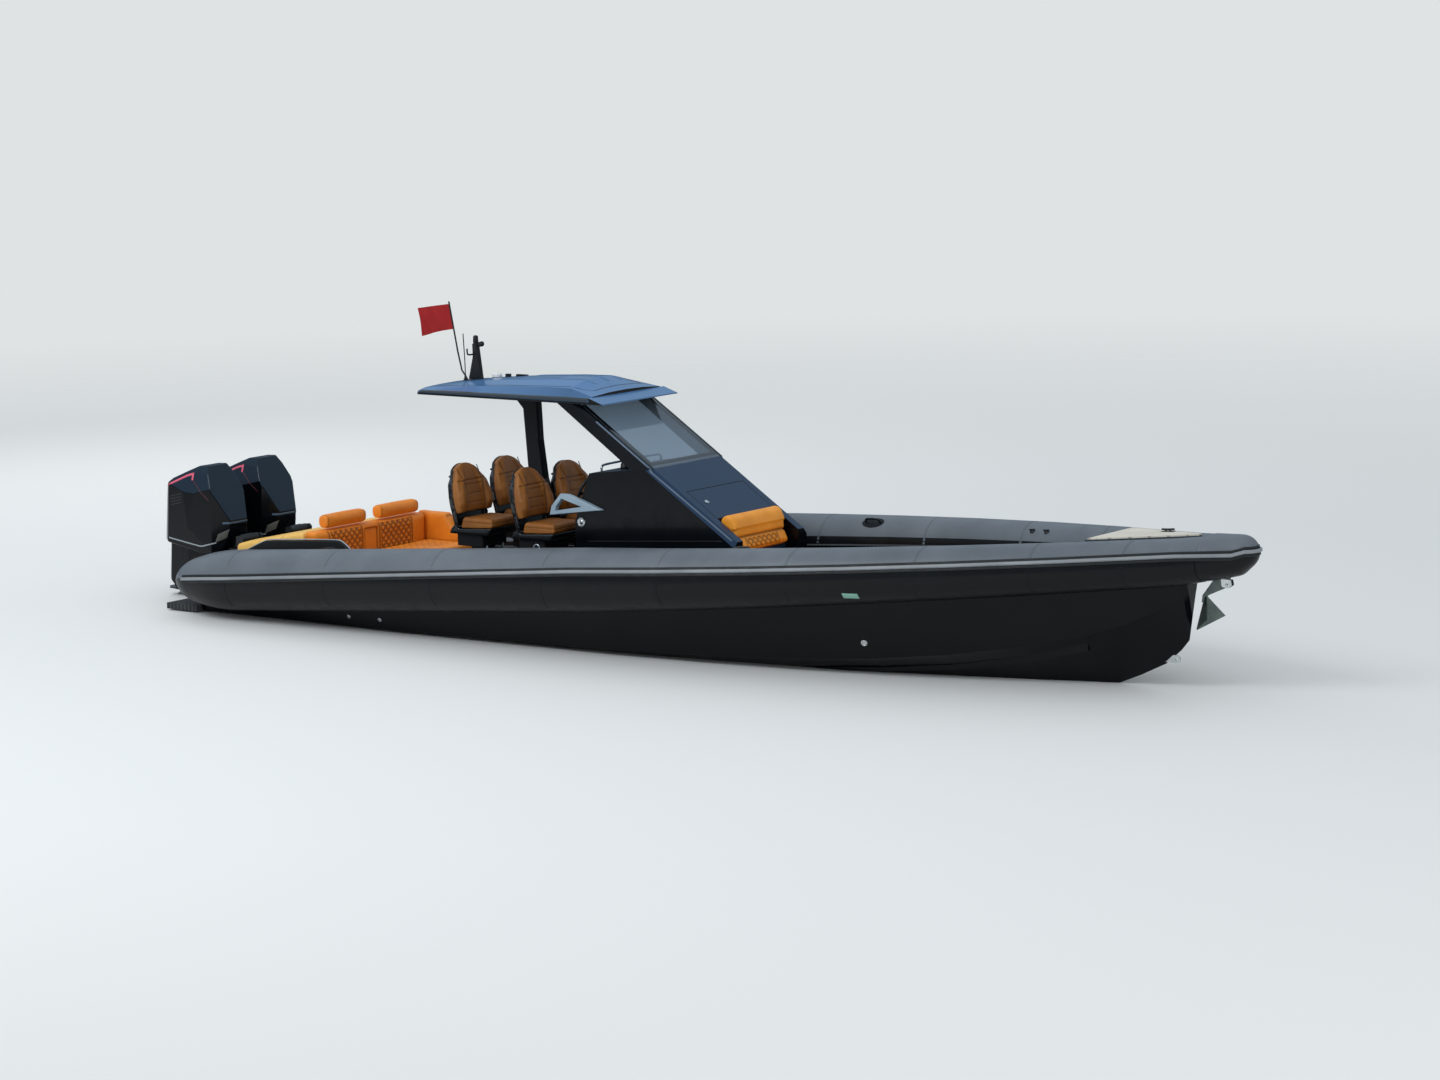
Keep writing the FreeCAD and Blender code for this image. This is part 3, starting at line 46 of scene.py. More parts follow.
# Camera and light
PHOTO_WIDTH = 1440
CAMERA_PLACE = Vector((22.46, -30.11, 6.43))
CAMERA_RIGHT = Vector((0.80363, 0.59474, -0.02155))
CAMERA_UP = Vector((-0.06852, 0.12845, 0.98935))
FOCAL_PIXELS = 4043.35
PALE = "#dfe3e4"
FLOOR_RADIUS, FADE_FROM, FADE_TO = 80, 9, 34
AHEAD, TO_PORT, UPWARD = Vector((1, 0, 0)), Vector((0, 1, 0)), Vector((0, 0, 1))
SIDES = {1: "port", -1: "starboard"}


def linear(code):
    """A #rrggbb colour as linear numbers, with alpha."""
    parts = [int(code[i:i + 2], 16) / 255 for i in (1, 3, 5)]
    return tuple(c / 12.92 if c <= 0.04045 else ((c + 0.055) / 1.055) ** 2.4 for c in parts) + (1.0,)


def link(obj):
    scene.collection.objects.link(obj)
    return obj


def make_camera():
    data = bpy.data.cameras.new("photo_camera")
    data.sensor_width = 36
    data.lens = data.sensor_width * FOCAL_PIXELS / PHOTO_WIDTH
    data.clip_end = 500
    camera = link(bpy.data.objects.new("photo_camera", data))
    turn = Matrix((CAMERA_RIGHT, CAMERA_UP, CAMERA_RIGHT.cross(CAMERA_UP))).transposed()
    camera.matrix_world = Matrix.Translation(CAMERA_PLACE) @ turn.to_4x4()
    scene.camera = camera


def lamp(name, place, target, size, power, mirrored=False):
    data = bpy.data.lights.new(name, "AREA")
    data.size = size
    data.energy = power
    obj = link(bpy.data.objects.new(name, data))
    obj.location = place
    obj.rotation_euler = (Vector(target) - Vector(place)).to_track_quat("-Z", "Y").to_euler()
    obj.visible_glossy = mirrored


def make_stage():
    """A pale floor at the waterline that fades into the backdrop, and a sky for reflections only."""
    bm = bmesh.new()
    bmesh.ops.create_circle(bm, cap_ends=True, segments=96, radius=FLOOR_RADIUS)
    mesh = bpy.data.meshes.new("water_level_floor")
    bm.to_mesh(mesh)
    floor = link(bpy.data.objects.new("water_level_floor", mesh))
    material, tree, shader = new_material("stage_pale_floor")
    sockets(shader, Base_Color=linear(PALE), Roughness=0.7)
    far = add(tree, "VectorMath", "Value", {0: add(tree, "TexCoord", "Object")}, operation="LENGTH")
    fade = add(tree, "MapRange", "Result", {"Value": far, "From Min": FADE_FROM, "From Max": FADE_TO})
    clear = add(tree, "BsdfTransparent", "BSDF")
    faded = add(tree, "MixShader", "Shader", {"Fac": fade, 1: shader.outputs["BSDF"], 2: clear})
    tree.links.new(faded, tree.nodes["Material Output"].inputs["Surface"])
    mesh.materials.append(material)
    world = bpy.data.worlds.new("studio")
    scene.world = world
    world.use_nodes = True
    tree = world.node_tree
    level = add(tree, "SeparateXYZ", "Z", {"Vector": add(tree, "TexCoord", "Generated")})
    sky = add(tree, "ValToRGB", "Color", {"Fac": level},
              stops=[(0.0, "#39434a"), (0.10, "#5d6c77"), (0.22, "#a9bccb"), (0.7, "#c7dcef")])
    camera_ray, glossy_ray = (add(tree, "LightPath", f"Is {ray} Ray") for ray in ("Camera", "Glossy"))
    seen = add(tree, "Mix", 2, {"Factor": camera_ray, 6: linear("#f4f6f8"), 7: linear(PALE)},
               data_type="RGBA")
    mirrored = add(tree, "Mix", 2, {"Factor": glossy_ray, 6: seen, 7: sky}, data_type="RGBA")
    strength = add(tree, "MapRange", "Result", {"Value": camera_ray, "To Min": 0.8, "To Max": 1.0})
    tree.links.new(mirrored, tree.nodes["Background"].inputs["Color"])
    tree.links.new(strength, tree.nodes["Background"].inputs["Strength"])
    lamp("key", (-5, -15, 15), (0, 0, 0.5), 9, 1500, mirrored=True)
    lamp("fill", (18, -12, 9), (0, 0, 0.8), 10, 400)
    lamp("rim", (-16, 7, 9), (0, 0, 1), 8, 500)


# Material kit
WAVE_BANDS = 0.314  # scale of a wave texture that gives one band a metre


def new_material(name):
    material = bpy.data.materials.new(name)
    material.use_nodes = True
    tree = material.node_tree
    return material, tree, tree.nodes["Principled BSDF"]


def add(tree, kind, out, values=None, size=None, stops=(), **settings):
    """A new node with its settings and links. Gives the output that is asked for.

    Values are numbers for its input sockets, or outputs of other nodes. Size is how wide a pattern's
    features are, in metres of the object. Stops are (place, colour code or grey level) of a ramp.
    """
    node = tree.nodes.new("ShaderNode" + kind)
    values = dict(values or {})
    if size:
        values.update({"Vector": add(tree, "TexCoord", "Object"), "Scale": 1 / size})
    for key, value in settings.items():
        setattr(node, key, value)
    for key, value in values.items():
        if isinstance(value, bpy.types.NodeSocket):
            tree.links.new(value, node.inputs[key])
        else:
            node.inputs[key].default_value = value
    if stops:
        band = node.color_ramp
        while len(band.elements) < len(stops):
            band.elements.new(0.5)
        for element, (where, tone) in zip(band.elements, stops):
            element.position = where
            element.color = linear(tone) if isinstance(tone, str) else (tone, tone, tone, 1)
    return node.outputs[out]


def relief(tree, shader, *layers):
    """Relief in layers, one over the other: each is (height, depth in metres)."""
    last = None
    for height, depth in layers:
        raised = add(tree, "Bump", "Normal", {"Height": height, "Distance": depth})
        if last:
            tree.links.new(last, raised.node.inputs["Normal"])
        last = raised
    tree.links.new(last, shader.inputs["Normal"])


def paint_over(tree, share, colour):
    """Lays a second colour over the first one where the share is 1."""
    base = tree.nodes["Principled BSDF"].inputs["Base Color"]
    both = {"Factor": share, 6: base.links[0].from_socket, 7: linear(colour)}
    tree.links.new(add(tree, "Mix", 2, both, data_type="RGBA"), base)


def sockets(shader, **values):
    for name, value in values.items():
        shader.inputs[name.replace("_", " ")].default_value = value


def surface(name, colour, dark, rough=(0.3, 0.5), blotch=0.35, **values):
    """Soft colour and roughness variation. Gives the material, its tree and its shader."""
    material, tree, shader = new_material(name)
    for socket, size, detail, low, high in (("Base Color", blotch, 4, dark, colour),
                                            ("Roughness", blotch * 0.3, 6, rough[0], rough[1])):
        cloud = add(tree, "TexNoise", "Fac", {"Detail": detail, "Roughness": 0.55}, size)
        tone = add(tree, "ValToRGB", "Color", {"Fac": cloud}, stops=[(0.3, low), (0.7, high)])
        tree.links.new(tone, shader.inputs[socket])
    sockets(shader, **values)
    return material, tree, shader


def gloss(name, colour, dark, rough=(0.1, 0.2), coat=0.35, scratch=0.00002, shine=0.5):
    """Gelcoat or lacquer: orange peel under a coat, with faint scratches."""
    material, tree, shader = surface(name, colour, dark, rough, Coat_Weight=coat, Coat_Roughness=0.06,
                                     Specular_IOR_Level=shine)
    peel = add(tree, "TexNoise", "Fac", {"Detail": 2, "Roughness": 0.55}, 0.012)
    lines = add(tree, "TexNoise", "Fac", {"Detail": 6, "Roughness": 0.8}, 0.0015)
    relief(tree, shader, (peel, 0.00008), (lines, scratch))
    return material


def lit_from_above(material, colour, low=0.2, high=0.6):
    """Painted light: faces that look up get a lighter colour, which stands for light from above and the sky's
    reflection in dark gloss.
    """
    tree = material.node_tree
    rise = add(tree, "SeparateXYZ", "Z", {"Vector": add(tree, "TexCoord", "Normal")})
    share = add(tree, "MapRange", "Result", {"Value": rise, "From Min": low, "From Max": high})
    paint_over(tree, share, colour)
    return material


def leather(name, colour, dark, grain=0.0022):
    """Upholstery: pebbled grain and creases, with painted shade down in the seams, darker where they are sewn
    deeper.
    """
    material, tree, shader = surface(name, colour, dark, (0.42, 0.58), 0.22, Specular_IOR_Level=0.4)
    half = "#%02x%02x%02x" % tuple(int(dark[i:i + 2], 16) // 2 for i in (1, 3, 5))
    # Painted shade: darker down in a pad's seams, by its stored painted seam shade.
    paint_over(tree, add(tree, "Attribute", "Fac", attribute_name="painted_seam_shade"), half)
    pebbles = add(tree, "TexVoronoi", "Distance", size=grain)
    creases = add(tree, "TexNoise", "Fac", {"Detail": 5, "Roughness": 0.7}, 0.03)
    relief(tree, shader, (pebbles, 0.0003), (creases, 0.0009))
    return material


def coated_fabric(name, colour, dark, rough=(0.4, 0.55)):
    """Tube fabric or flag cloth: a tight weave, drawn coarse, that shows through its coating."""
    material, tree, shader = surface(name, colour, dark, rough, 0.5, Specular_IOR_Level=0.22)
    warp, weft = (add(tree, "TexWave", "Fac", size=0.0011 / WAVE_BANDS, bands_direction=axis)
                  for axis in "XZ")
    weave = add(tree, "Math", "Value", {0: warp, 1: weft}, operation="MULTIPLY")
    ease = add(tree, "TexNoise", "Fac", {"Detail": 4, "Roughness": 0.55}, 0.09)
    relief(tree, shader, (weave, 0.00008), (ease, 0.0012))
    return material, tree, shader


def moulded(name, colour, dark, rough=(0.45, 0.65), grain=0.0012, depth=0.00012):
    """Moulded rubber or plastic, or powder coat: a fine pebble."""
    material, tree, shader = surface(name, colour, dark, rough)
    relief(tree, shader, (add(tree, "TexVoronoi", "Distance", size=grain), depth))
    return material


def metal(name, colour, dark, rough=(0.1, 0.22), across="X"):
    """Polished metal with fine drawn lines."""
    material, tree, shader = surface(name, colour, dark, rough, 0.1, Metallic=1.0)
    drawn = add(tree, "TexWave", "Fac", size=0.0009 / WAVE_BANDS, bands_direction=across)
    smears = add(tree, "TexNoise", "Fac", {"Detail": 6, "Roughness": 0.55}, 0.02)
    relief(tree, shader, (drawn, 0.000008), (smears, 0.00002))
    return material


def planked(name, colour, line, pitch, across="Y"):
    """Deck foam: narrow grooves every pitch metres, and a brushed pebble between them."""
    material, tree, shader = surface(name, colour, colour, (0.65, 0.85), 0.4)
    bands = add(tree, "TexWave", "Fac", size=pitch / WAVE_BANDS, bands_direction=across)
    groove = add(tree, "ValToRGB", "Color", {"Fac": bands}, stops=[(0.0, 1.0), (0.05, 1.0), (0.09, 0.0)])
    cloud = add(tree, "TexNoise", "Fac", {"Detail": 5, "Roughness": 0.55}, 0.3)
    tone = add(tree, "ValToRGB", "Color", {"Fac": cloud}, stops=[(0.3, 0.82), (0.7, 1.0)])
    worn = add(tree, "Mix", 2, {"Factor": 1.0, 6: linear(colour), 7: tone}, data_type="RGBA",
               blend_type="MULTIPLY")
    tree.links.new(worn, shader.inputs["Base Color"])
    paint_over(tree, groove, line)
    planks = add(tree, "Math", "Value", {0: 1.0, 1: groove}, operation="SUBTRACT")
    relief(tree, shader, (planks, 0.0012), (add(tree, "TexVoronoi", "Distance", size=0.0012), 0.0002))
    return material


def dress(material, *names):
    for name in names:
        obj = nodes[name]
        obj.data.materials.clear()
        obj.data.materials.append(material)


# The tubes' form, as the solids have it
BEND_START, BEND_RADIUS, BEND_LENGTH = -0.55, 14.6, 5.61
TUBE_OUT, TUBE_HEIGHT, TUBE_SHEER = 1.31, 0.765, 0.075
TUBE_RADIUS, TUBE_TAPER = 0.3, 0.092
RAIL_END = 5.8
RAIL_HEIGHTS = [(-RAIL_END, 0.37), (-4.8, 0.458), (-3.0, 0.619), (-1.0, 0.796), (0.5, 0.908), (2.5, 1.046),
                (4.5, 1.184), (5.3, 1.25), (RAIL_END, 1.27)]


def axis_point(x):
    run = max(0.0, x - BEND_START)
    out = TUBE_OUT - BEND_RADIUS + math.sqrt(BEND_RADIUS ** 2 - run ** 2)
    return Vector((x, out, TUBE_HEIGHT + TUBE_SHEER * x))


def tube_radius(x):
    return TUBE_RADIUS - TUBE_TAPER * min(max((x - BEND_START) / BEND_LENGTH, 0), 1)


def tube_material():
    """Charcoal above the rub rail, black below it: the black stands partly for dark lower fabric and partly
    for painted shade on the tube's underside.
    """
    material, tree, shader = coated_fabric("hypalon_charcoal_and_underside_shade", "#676f77", "#5a626a", (0.3, 0.42))
    x = add(tree, "SeparateXYZ", "X", {"Vector": add(tree, "TexCoord", "Object")})
    station = add(tree, "MapRange", "Result", {"Value": x, "From Min": -RAIL_END, "From Max": RAIL_END})
    half_height = add(tree, "ValToRGB", "Color", {"Fac": station},
                      stops=[((x + RAIL_END) / (2 * RAIL_END), z / 2) for x, z in RAIL_HEIGHTS])
    rail = add(tree, "Math", "Value", {0: half_height, 1: 2.0}, operation="MULTIPLY")
    # Painted shade in part: black below the rub rail's height.
    paint_over(tree, add(tree, "Math", "Value", {0: x.node.outputs["Z"], 1: rail}, operation="LESS_THAN"),
               "#0b0e11")
    return material


# Mesh kit
FINEST = 0.0001


def to_object(name, bm, material, body="boat"):
    bmesh.ops.recalc_face_normals(bm, faces=bm.faces)
    mesh = bpy.data.meshes.new(name)
    bm.to_mesh(mesh)
    bm.free()
    mesh.materials.append(material)
    mesh.shade_smooth()
    mesh.set_sharp_from_angle(angle=math.radians(35))
    obj = link(bpy.data.objects.new(name, mesh))
    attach(obj, body)
    return obj


trees = {}


def hit(targets, start, direction):
    """Where a ray first meets one of the CAD nodes: place and outward normal."""
    best = None
    for target in targets:
        if target not in trees:
            trees[target] = BVHTree.FromObject(nodes[target], bpy.context.evaluated_depsgraph_get())
        where, normal, _, far = trees[target].ray_cast(start, direction.normalized())
        if where is not None and (best is None or far < best[2]):
            best = (where, normal if normal.dot(direction) < 0 else -normal, far)
    return best[:2] if best else None


def skin(name, targets, starts, direction, thickness, material, body="boat", edge=0.3):
    """A thin piece that follows what lies under it: a grid of start points cast along a direction."""
    bm = bmesh.new()
    rows = []
    for i, row in enumerate(starts):
        line = []
        for j, start in enumerate(row):
            found = hit(targets, start, direction(start) if callable(direction) else direction)
            if found is None:
                bm.free()
                return None
            where, normal = found
            rim = i in (0, len(starts) - 1) or j in (0, len(row) - 1)
            lift = thickness * (edge if rim else 1.0) + 2 * FINEST
            line.append((bm.verts.new(where + normal * lift), bm.verts.new(where + normal * FINEST)))
        rows.append(line)
    for a, b in zip(rows, rows[1:]):
        for p, q in zip(zip(a, a[1:]), zip(b, b[1:])):
            bm.faces.new((p[0][0], p[1][0], q[1][0], q[0][0]))
            bm.faces.new((p[0][1], q[0][1], q[1][1], p[1][1]))
    border = [rows[0][:-1], [r[-1] for r in rows[:-1]], rows[-1][:0:-1], [r[0] for r in rows[:0:-1]]]
    loop = [pair for part in border for pair in part]
    for a, b in zip(loop, loop[1:] + loop[:1]):
        bm.faces.new((a[0], b[0], b[1], a[1]))
    return to_object(name, bm, material, body)


def along(points, count):
    """Evenly spread points along a polyline."""
    points = [Vector(p) for p in points]
    spans = [(b - a).length for a, b in zip(points, points[1:])]
    total, out = sum(spans), []
    for i in range(count):
        far = total * i / (count - 1)
        for a, b, span in zip(points, points[1:], spans):
            if far <= span + 1e-9:
                out.append(a.lerp(b, min(far / span, 1)))
                break
            far -= span
    return out


def strip(name, targets, path, count, width, across, toward, thickness, material, body="boat"):
    """A skin of a given width along a path."""
    starts = [[p + across * (width * (j / 4 - 0.5)) for j in range(5)] for p in along(path, count)]
    return skin(name, targets, starts, toward, thickness, material, body)


def ring(bm, centre, side, up, sides):
    """Points round a centre: side and up are its half widths."""
    turns = [2 * math.pi * k / sides for k in range(sides)]
    return [bm.verts.new(centre + side * math.cos(turn) + up * math.sin(turn)) for turn in turns]


def join_rings(name, bm, rings, material, body):
    """The wall through a row of rings, closed at both ends."""
    for a, b in zip(rings, rings[1:]):
        for k in range(len(a)):
            after = (k + 1) % len(a)
            bm.faces.new((a[k], a[after], b[after], b[k]))
    bm.faces.new(rings[0][::-1])
    bm.faces.new(rings[-1])
    return to_object(name, bm, material, body)


def sweep(name, points, radius, material, body="boat", flat=1.0):
    """A round or flattened bar along a smoothed path, with domed ends."""
    points = [Vector(p) for p in points]
    for _ in range(3):
        cut = [points[0]]
        for a, b in zip(points, points[1:]):
            cut += [a.lerp(b, 0.25), a.lerp(b, 0.75)]
        points = cut + [points[-1]]
    bm = bmesh.new()
    rings = []
    first = (points[1] - points[0]).normalized()
    side = (first.orthogonal() if abs(first.z) > 0.9 else first.cross(UPWARD)).normalized()
    for i, p in enumerate(points):
        way = (points[min(i + 1, len(points) - 1)] - points[max(i - 1, 0)]).normalized()
        side = (side - way * side.dot(way)).normalized()
        up = way.cross(side)
        dome = [(-0.6, 0.45), (-0.3, 0.85)] if i == 0 else []
        tail = [(0.3, 0.85), (0.6, 0.45)] if i == len(points) - 1 else []
        for shift, share in dome + [(0.0, 1.0)] + tail:
            wide = radius * share
            rings.append(ring(bm, p + way * shift * radius, side * wide, up * (flat * wide), 12))
    return join_rings(name, bm, rings, material, body)


def lathe(name, profile, where, axis, material, body="boat"):
    """A turned piece: profile rows are (height along the axis, radius)."""
    axis = Vector(axis).normalized()
    side = axis.orthogonal().normalized()
    up = axis.cross(side)
    bm = bmesh.new()
    rings = [ring(bm, Vector(where) + axis * height, side * radius, up * radius, 32)
             for height, radius in profile]
    return join_rings(name, bm, rings, material, body)


def stand(name, profile, targets, start, way, material):
    """A turned piece on what a ray meets first. Gives its foot and the way it stands."""
    where, normal = hit(targets, start, way)
    lathe(name, profile, where, normal, material)
    return where, normal


def plate(name, outline, lift, material, body="boat", rounding=0.004):
    """A flat outline raised by a vector, with its edges rounded."""
    bm = bmesh.new()
    low = [bm.verts.new(Vector(p)) for p in outline]
    high = [bm.verts.new(Vector(p) + Vector(lift)) for p in outline]
    bm.faces.new(low[::-1])
    bm.faces.new(high)
    for i in range(len(low)):
        after = (i + 1) % len(low)
        bm.faces.new((low[i], low[after], high[after], high[i]))
    bmesh.ops.recalc_face_normals(bm, faces=bm.faces)
    bmesh.ops.bevel(bm, geom=list(bm.edges), offset=rounding, segments=3, affect="EDGES", clamp_overlap=True)
    return to_object(name, bm, material, body)


# Soft goods
def islands(name):
    """The separate solids of a node as welded meshes, in order of X and then Y."""
    bm = bmesh.new()
    bm.from_mesh(nodes[name].data)
    bmesh.ops.remove_doubles(bm, verts=bm.verts, dist=1e-5)
    left, found = set(bm.verts), []
    while left:
        heap, part = [left.pop()], []
        while heap:
            vert = heap.pop()
            part.append(vert)
            for edge in vert.link_edges:
                other = edge.other_vert(vert)
                if other in left:
                    left.discard(other)
                    heap.append(other)
        index = {vert: i for i, vert in enumerate(part)}
        faces = [[index[v] for v in face.verts] for face in bm.faces if face.verts[0] in index]
        found.append(([vert.co.copy() for vert in part], faces))
    bm.free()
    return sorted(found, key=lambda f: (round(sum(v.x for v in f[0]) / len(f[0]), 2),
                                        sum(v.y for v in f[0]) / len(f[0])))


def evaluated(obj):
    """Applies the object's modifiers to its mesh."""
    view = bpy.context.evaluated_depsgraph_get()
    mesh = bpy.data.meshes.new_from_object(obj.evaluated_get(view))
    obj.modifiers.clear()
    old, obj.data = obj.data, mesh
    bpy.data.meshes.remove(old)


SHRINK = 0.004  # how far a remade mesh first lies inside its solid
# The seam depth that gives full painted seam shade, and the most of that shade.
SEAM_SHADE_FULL_DEPTH, SEAM_SHADE_MOST = 0.014, 0.75
CLOTH_STEPS, CLOTH_PRESSURE = 20, 4


def paint(mesh, material):
    mesh.materials.clear()
    mesh.materials.append(material)
    mesh.shade_smooth()


def remade(name, node, which, voxel, form=None):
    """One solid of a node as an even mesh, a little smaller, moved by form(place) where given."""
    points, faces = islands(node)[which]
    mesh = bpy.data.meshes.new(name)
    mesh.from_pydata(points, [], faces)
    bm = bmesh.new()
    bm.from_mesh(mesh)
    bmesh.ops.recalc_face_normals(bm, faces=bm.faces)
    middle = sum(points, Vector()) / len(points)
    size = [max(p[k] for p in points) - min(p[k] for p in points) for k in range(3)]
    for vert in bm.verts:
        for k in range(3):
            vert.co[k] = middle[k] + (vert.co[k] - middle[k]) * (1 - 2 * SHRINK / size[k])
    bm.to_mesh(mesh)
    bm.free()
    obj = link(bpy.data.objects.new(name, mesh))
    remesh = obj.modifiers.new("remesh", "REMESH")
    remesh.mode = "VOXEL"
    remesh.voxel_size = voxel
    evaluated(obj)
    if form:
        for vert in obj.data.vertices:
            vert.co += form(vert.co)
        obj.data.update()
    soften = obj.modifiers.new("soften", "SMOOTH")
    soften.iterations = 4
    evaluated(obj)
    return obj


def spread(obj, offsets):
    """The object and its copies, one for each offset from the first."""
    pieces = [obj]
    for i, offset in enumerate(offsets[1:], 2):
        data = obj.data.copy()
        data.transform(Matrix.Translation(Vector(offset)))
        pieces.append(link(bpy.data.objects.new(f"{obj.name}_{i}", data)))
    return pieces


def stuffed(name, node, which, voxel, cap, rests, sewn, material, offsets=((0, 0, 0),), form=None):
    """Padded pieces from one solid of a node, one for each offset.

    They are blown up as cloth, by cap metres at most and not toward what they rest against. The depth
    of their seams is sewn(place, normal).
    """
    obj = remade(name, node, which, voxel, form)
    start = [v.co.copy() for v in obj.data.vertices]
    free = [max(0.0, 1 - max([0] + [v.normal.dot(rest) for rest in rests]) * 1.6)
            for v in obj.data.vertices]
    cloth = obj.modifiers.new("cloth", "CLOTH")
    cloth.settings.use_pressure = True
    cloth.settings.uniform_pressure_force = CLOTH_PRESSURE
    cloth.settings.effector_weights.gravity = 0
    cloth.settings.quality = 3
    cloth.collision_settings.use_collision = False
    for step in range(1, CLOTH_STEPS + 1):
        scene.frame_set(step)
    evaluated(obj)
    scene.frame_set(1)
    for vert, old, share in zip(obj.data.vertices, start, free):
        move = vert.co - old
        vert.co = old + move * (share * min(1.0, cap / max(move.length, 1e-9)))
    fine = obj.modifiers.new("fine", "SUBSURF")
    fine.levels = fine.render_levels = 1
    evaluated(obj)
    mesh = obj.data
    normals = [v.normal.copy() for v in mesh.vertices]
    depths = [sewn(vert.co, normal) for vert, normal in zip(mesh.vertices, normals)]
    # Painted shade in the seams: each point keeps how deep it is sewn, and the leather darkens there.
    seam = mesh.attributes.new("painted_seam_shade", "FLOAT", "POINT")
    for vert, normal, depth in zip(mesh.vertices, normals, depths):
        vert.co -= normal * depth
    seam.data.foreach_set("value", [min(max(depth / SEAM_SHADE_FULL_DEPTH, 0.0), SEAM_SHADE_MOST) for depth in depths])
    paint(mesh, material)
    for piece in spread(obj, offsets):
        finish_pad(piece, node)
    return obj


def finish_pad(obj, node):
    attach(obj, "boat")
    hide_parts(node)


def groove(distance, width, depth):
    """How deep a sewn line pulls the cover in at a distance from it."""
    return depth * math.exp(-(distance / width) ** 2)


def diamonds(u, v, pitch):
    """Distance to the nearest line of a diamond pattern."""
    a, b = (u + v) / pitch, (u - v) / pitch
    return min(abs(a - round(a)), abs(b - round(b))) * pitch * 0.7071


# Materials of the solids
make_camera()
make_stage()
scene.view_settings.view_transform = "Standard"
tubes = tube_material()
dress(tubes, "tube_port", "tube_starboard", "bow_cap")
dress(gloss("gelcoat_black_hull", "#06090d", "#030507", (0.1, 0.2), 0.05, shine=0.16), "hull")
console_blue = gloss("gelcoat_console_painted_light_and_shade", "#080c12", "#05080d", (0.12, 0.22), 0.05, shine=0.16)
# Painted light and shade: faces that look up turn navy as if lit from above, and the near-black of the others
# stands partly for their shade.
lit_from_above(console_blue, "#22364f")
dress(console_blue, "console", "console_hatch", "front_seat_base", "aft_module", "bench_base")
roof_coat = gloss("laminate_roof_painted_sky_reflection", "#0d1218", "#0a0e13", (0.16, 0.26), 0.15, shine=0.3)
# Painted reflection: the roof's faces that look up turn light blue, standing for the sky mirrored in its dark
# gloss.
lit_from_above(roof_coat, "#4a75a6", 0.55, 0.97)
dress(roof_coat, "hardtop")
dress(gloss("laminate_black_frame", "#0b1017", "#080b10", (0.16, 0.28), 0.05, shine=0.18),
      "windscreen_pillars", "roof_leg")
dress(gloss("laminate_wing_pale_blue", "#93a8b8", "#8197a9", (0.2, 0.3), 0.2), "console_wings")
dress(gloss("gelcoat_grey_bow_step", "#3c434b", "#343b42", (0.25, 0.4), 0.15), "bow_step")
dress(moulded("rubber_black_strake", "#17191b", "#101214", (0.5, 0.7), grain=0.003, depth=0.0002),
      "rub_rails")
dress(moulded("rubber_light_grey_bead", "#8b9196", "#787f85", (0.45, 0.65), grain=0.002), "rail_beads")
dress(planked("foam_sand_bow_pad", "#dcdad0", "#a9a69a", 0.062), "foredeck_pad")
black_foam = planked("foam_black_nonskid", "#26292c", "#54585b", 0.05, "X")
dress(black_foam, "swim_platforms")
powder = moulded("powder_coat_black", "#15171a", "#0e1012", (0.35, 0.5))
dress(powder, "mast", "flag_staff", "seat_pedestals")
plastic = moulded("plastic_black_moulded", "#17191b", "#101113", (0.35, 0.55), grain=0.0008, depth=0.00006)
dress(plastic, "helm_display", "throttle", "roof_fittings")
dress(leather("wheel_rim_black_leather", "#17181a", "#0f1011", 0.0016), "helm_wheel")
dress(gloss("shell_black_lacquer", "#121417", "#0c0e10", (0.15, 0.3)), "seat_shells")
steel = metal("stainless_polished", "#d0d3d5", "#b9bdc0")
dress(metal("steel_galvanised_anchor", "#77827d", "#5f6a66", (0.38, 0.55)), "anchor")
dress(steel, "bow_eye", "stern_eye_port", "stern_eye_starboard", "cleats", "helm_column")
dress(metal("stainless_cast_propeller", "#b6babd", "#9ea3a6", (0.22, 0.38), "Z"), "propeller_port",
      "propeller_starboard")
lacquer = gloss("engine_black_lacquer_painted_top_sheen", "#080b10", "#05080c", (0.1, 0.18), 0.04, shine=0.2)
# Painted sheen: the cowls' faces that look up turn a lighter blue-grey, standing for light from above.
lit_from_above(lacquer, "#1b2836", 0.12, 0.3)
dress(lacquer, "cowl_port", "cowl_starboard")
dress(gloss("engine_leg_enamel", "#0b1014", "#080c10", (0.2, 0.32), 0.04, shine=0.2), "engine_leg_port",
      "engine_leg_starboard")
dress(moulded("casting_black_painted", "#1a1d20", "#121416", (0.4, 0.55), grain=0.0025, depth=0.0002),
      "swivel_port", "swivel_starboard", "engine_clamp_port", "engine_clamp_starboard")


def painted(name, colour, dark, grain=0.0008, depth=0.00004):
    """Satin paint, film or fine plastic on the small trim."""
    return moulded(name, colour, dark, (0.3, 0.45), grain, depth)


def glass_material():
    material, tree, shader = new_material("glass_smoked_blue")
    sockets(shader, Base_Color=linear("#8fa3b5"), Transmission_Weight=0.82, Specular_IOR_Level=0.6)
    film = add(tree, "TexNoise", "Fac", {"Detail": 6, "Roughness": 0.7}, 0.12)
    smear = add(tree, "ValToRGB", "Color", {"Fac": film}, stops=[(0.35, 0.02), (0.75, 0.07)])
    tree.links.new(smear, shader.inputs["Roughness"])
    relief(tree, shader, (add(tree, "TexNoise", "Fac", {"Detail": 2, "Roughness": 0.55}, 0.4), 0.0002))
    return material


dress(glass_material(), "windscreen_glass")
tan = leather("leather_tan_seats", "#9a6126", "#7f4d1c")
orange = leather("leather_orange_lounge", "#ee8e24", "#dd7d1a")
amber = leather("leather_amber_bow_seat", "#f2a334", "#e3922a")
cream = leather("vinyl_cream_sunpad", "#efc46e", "#e4b459", 0.0016)
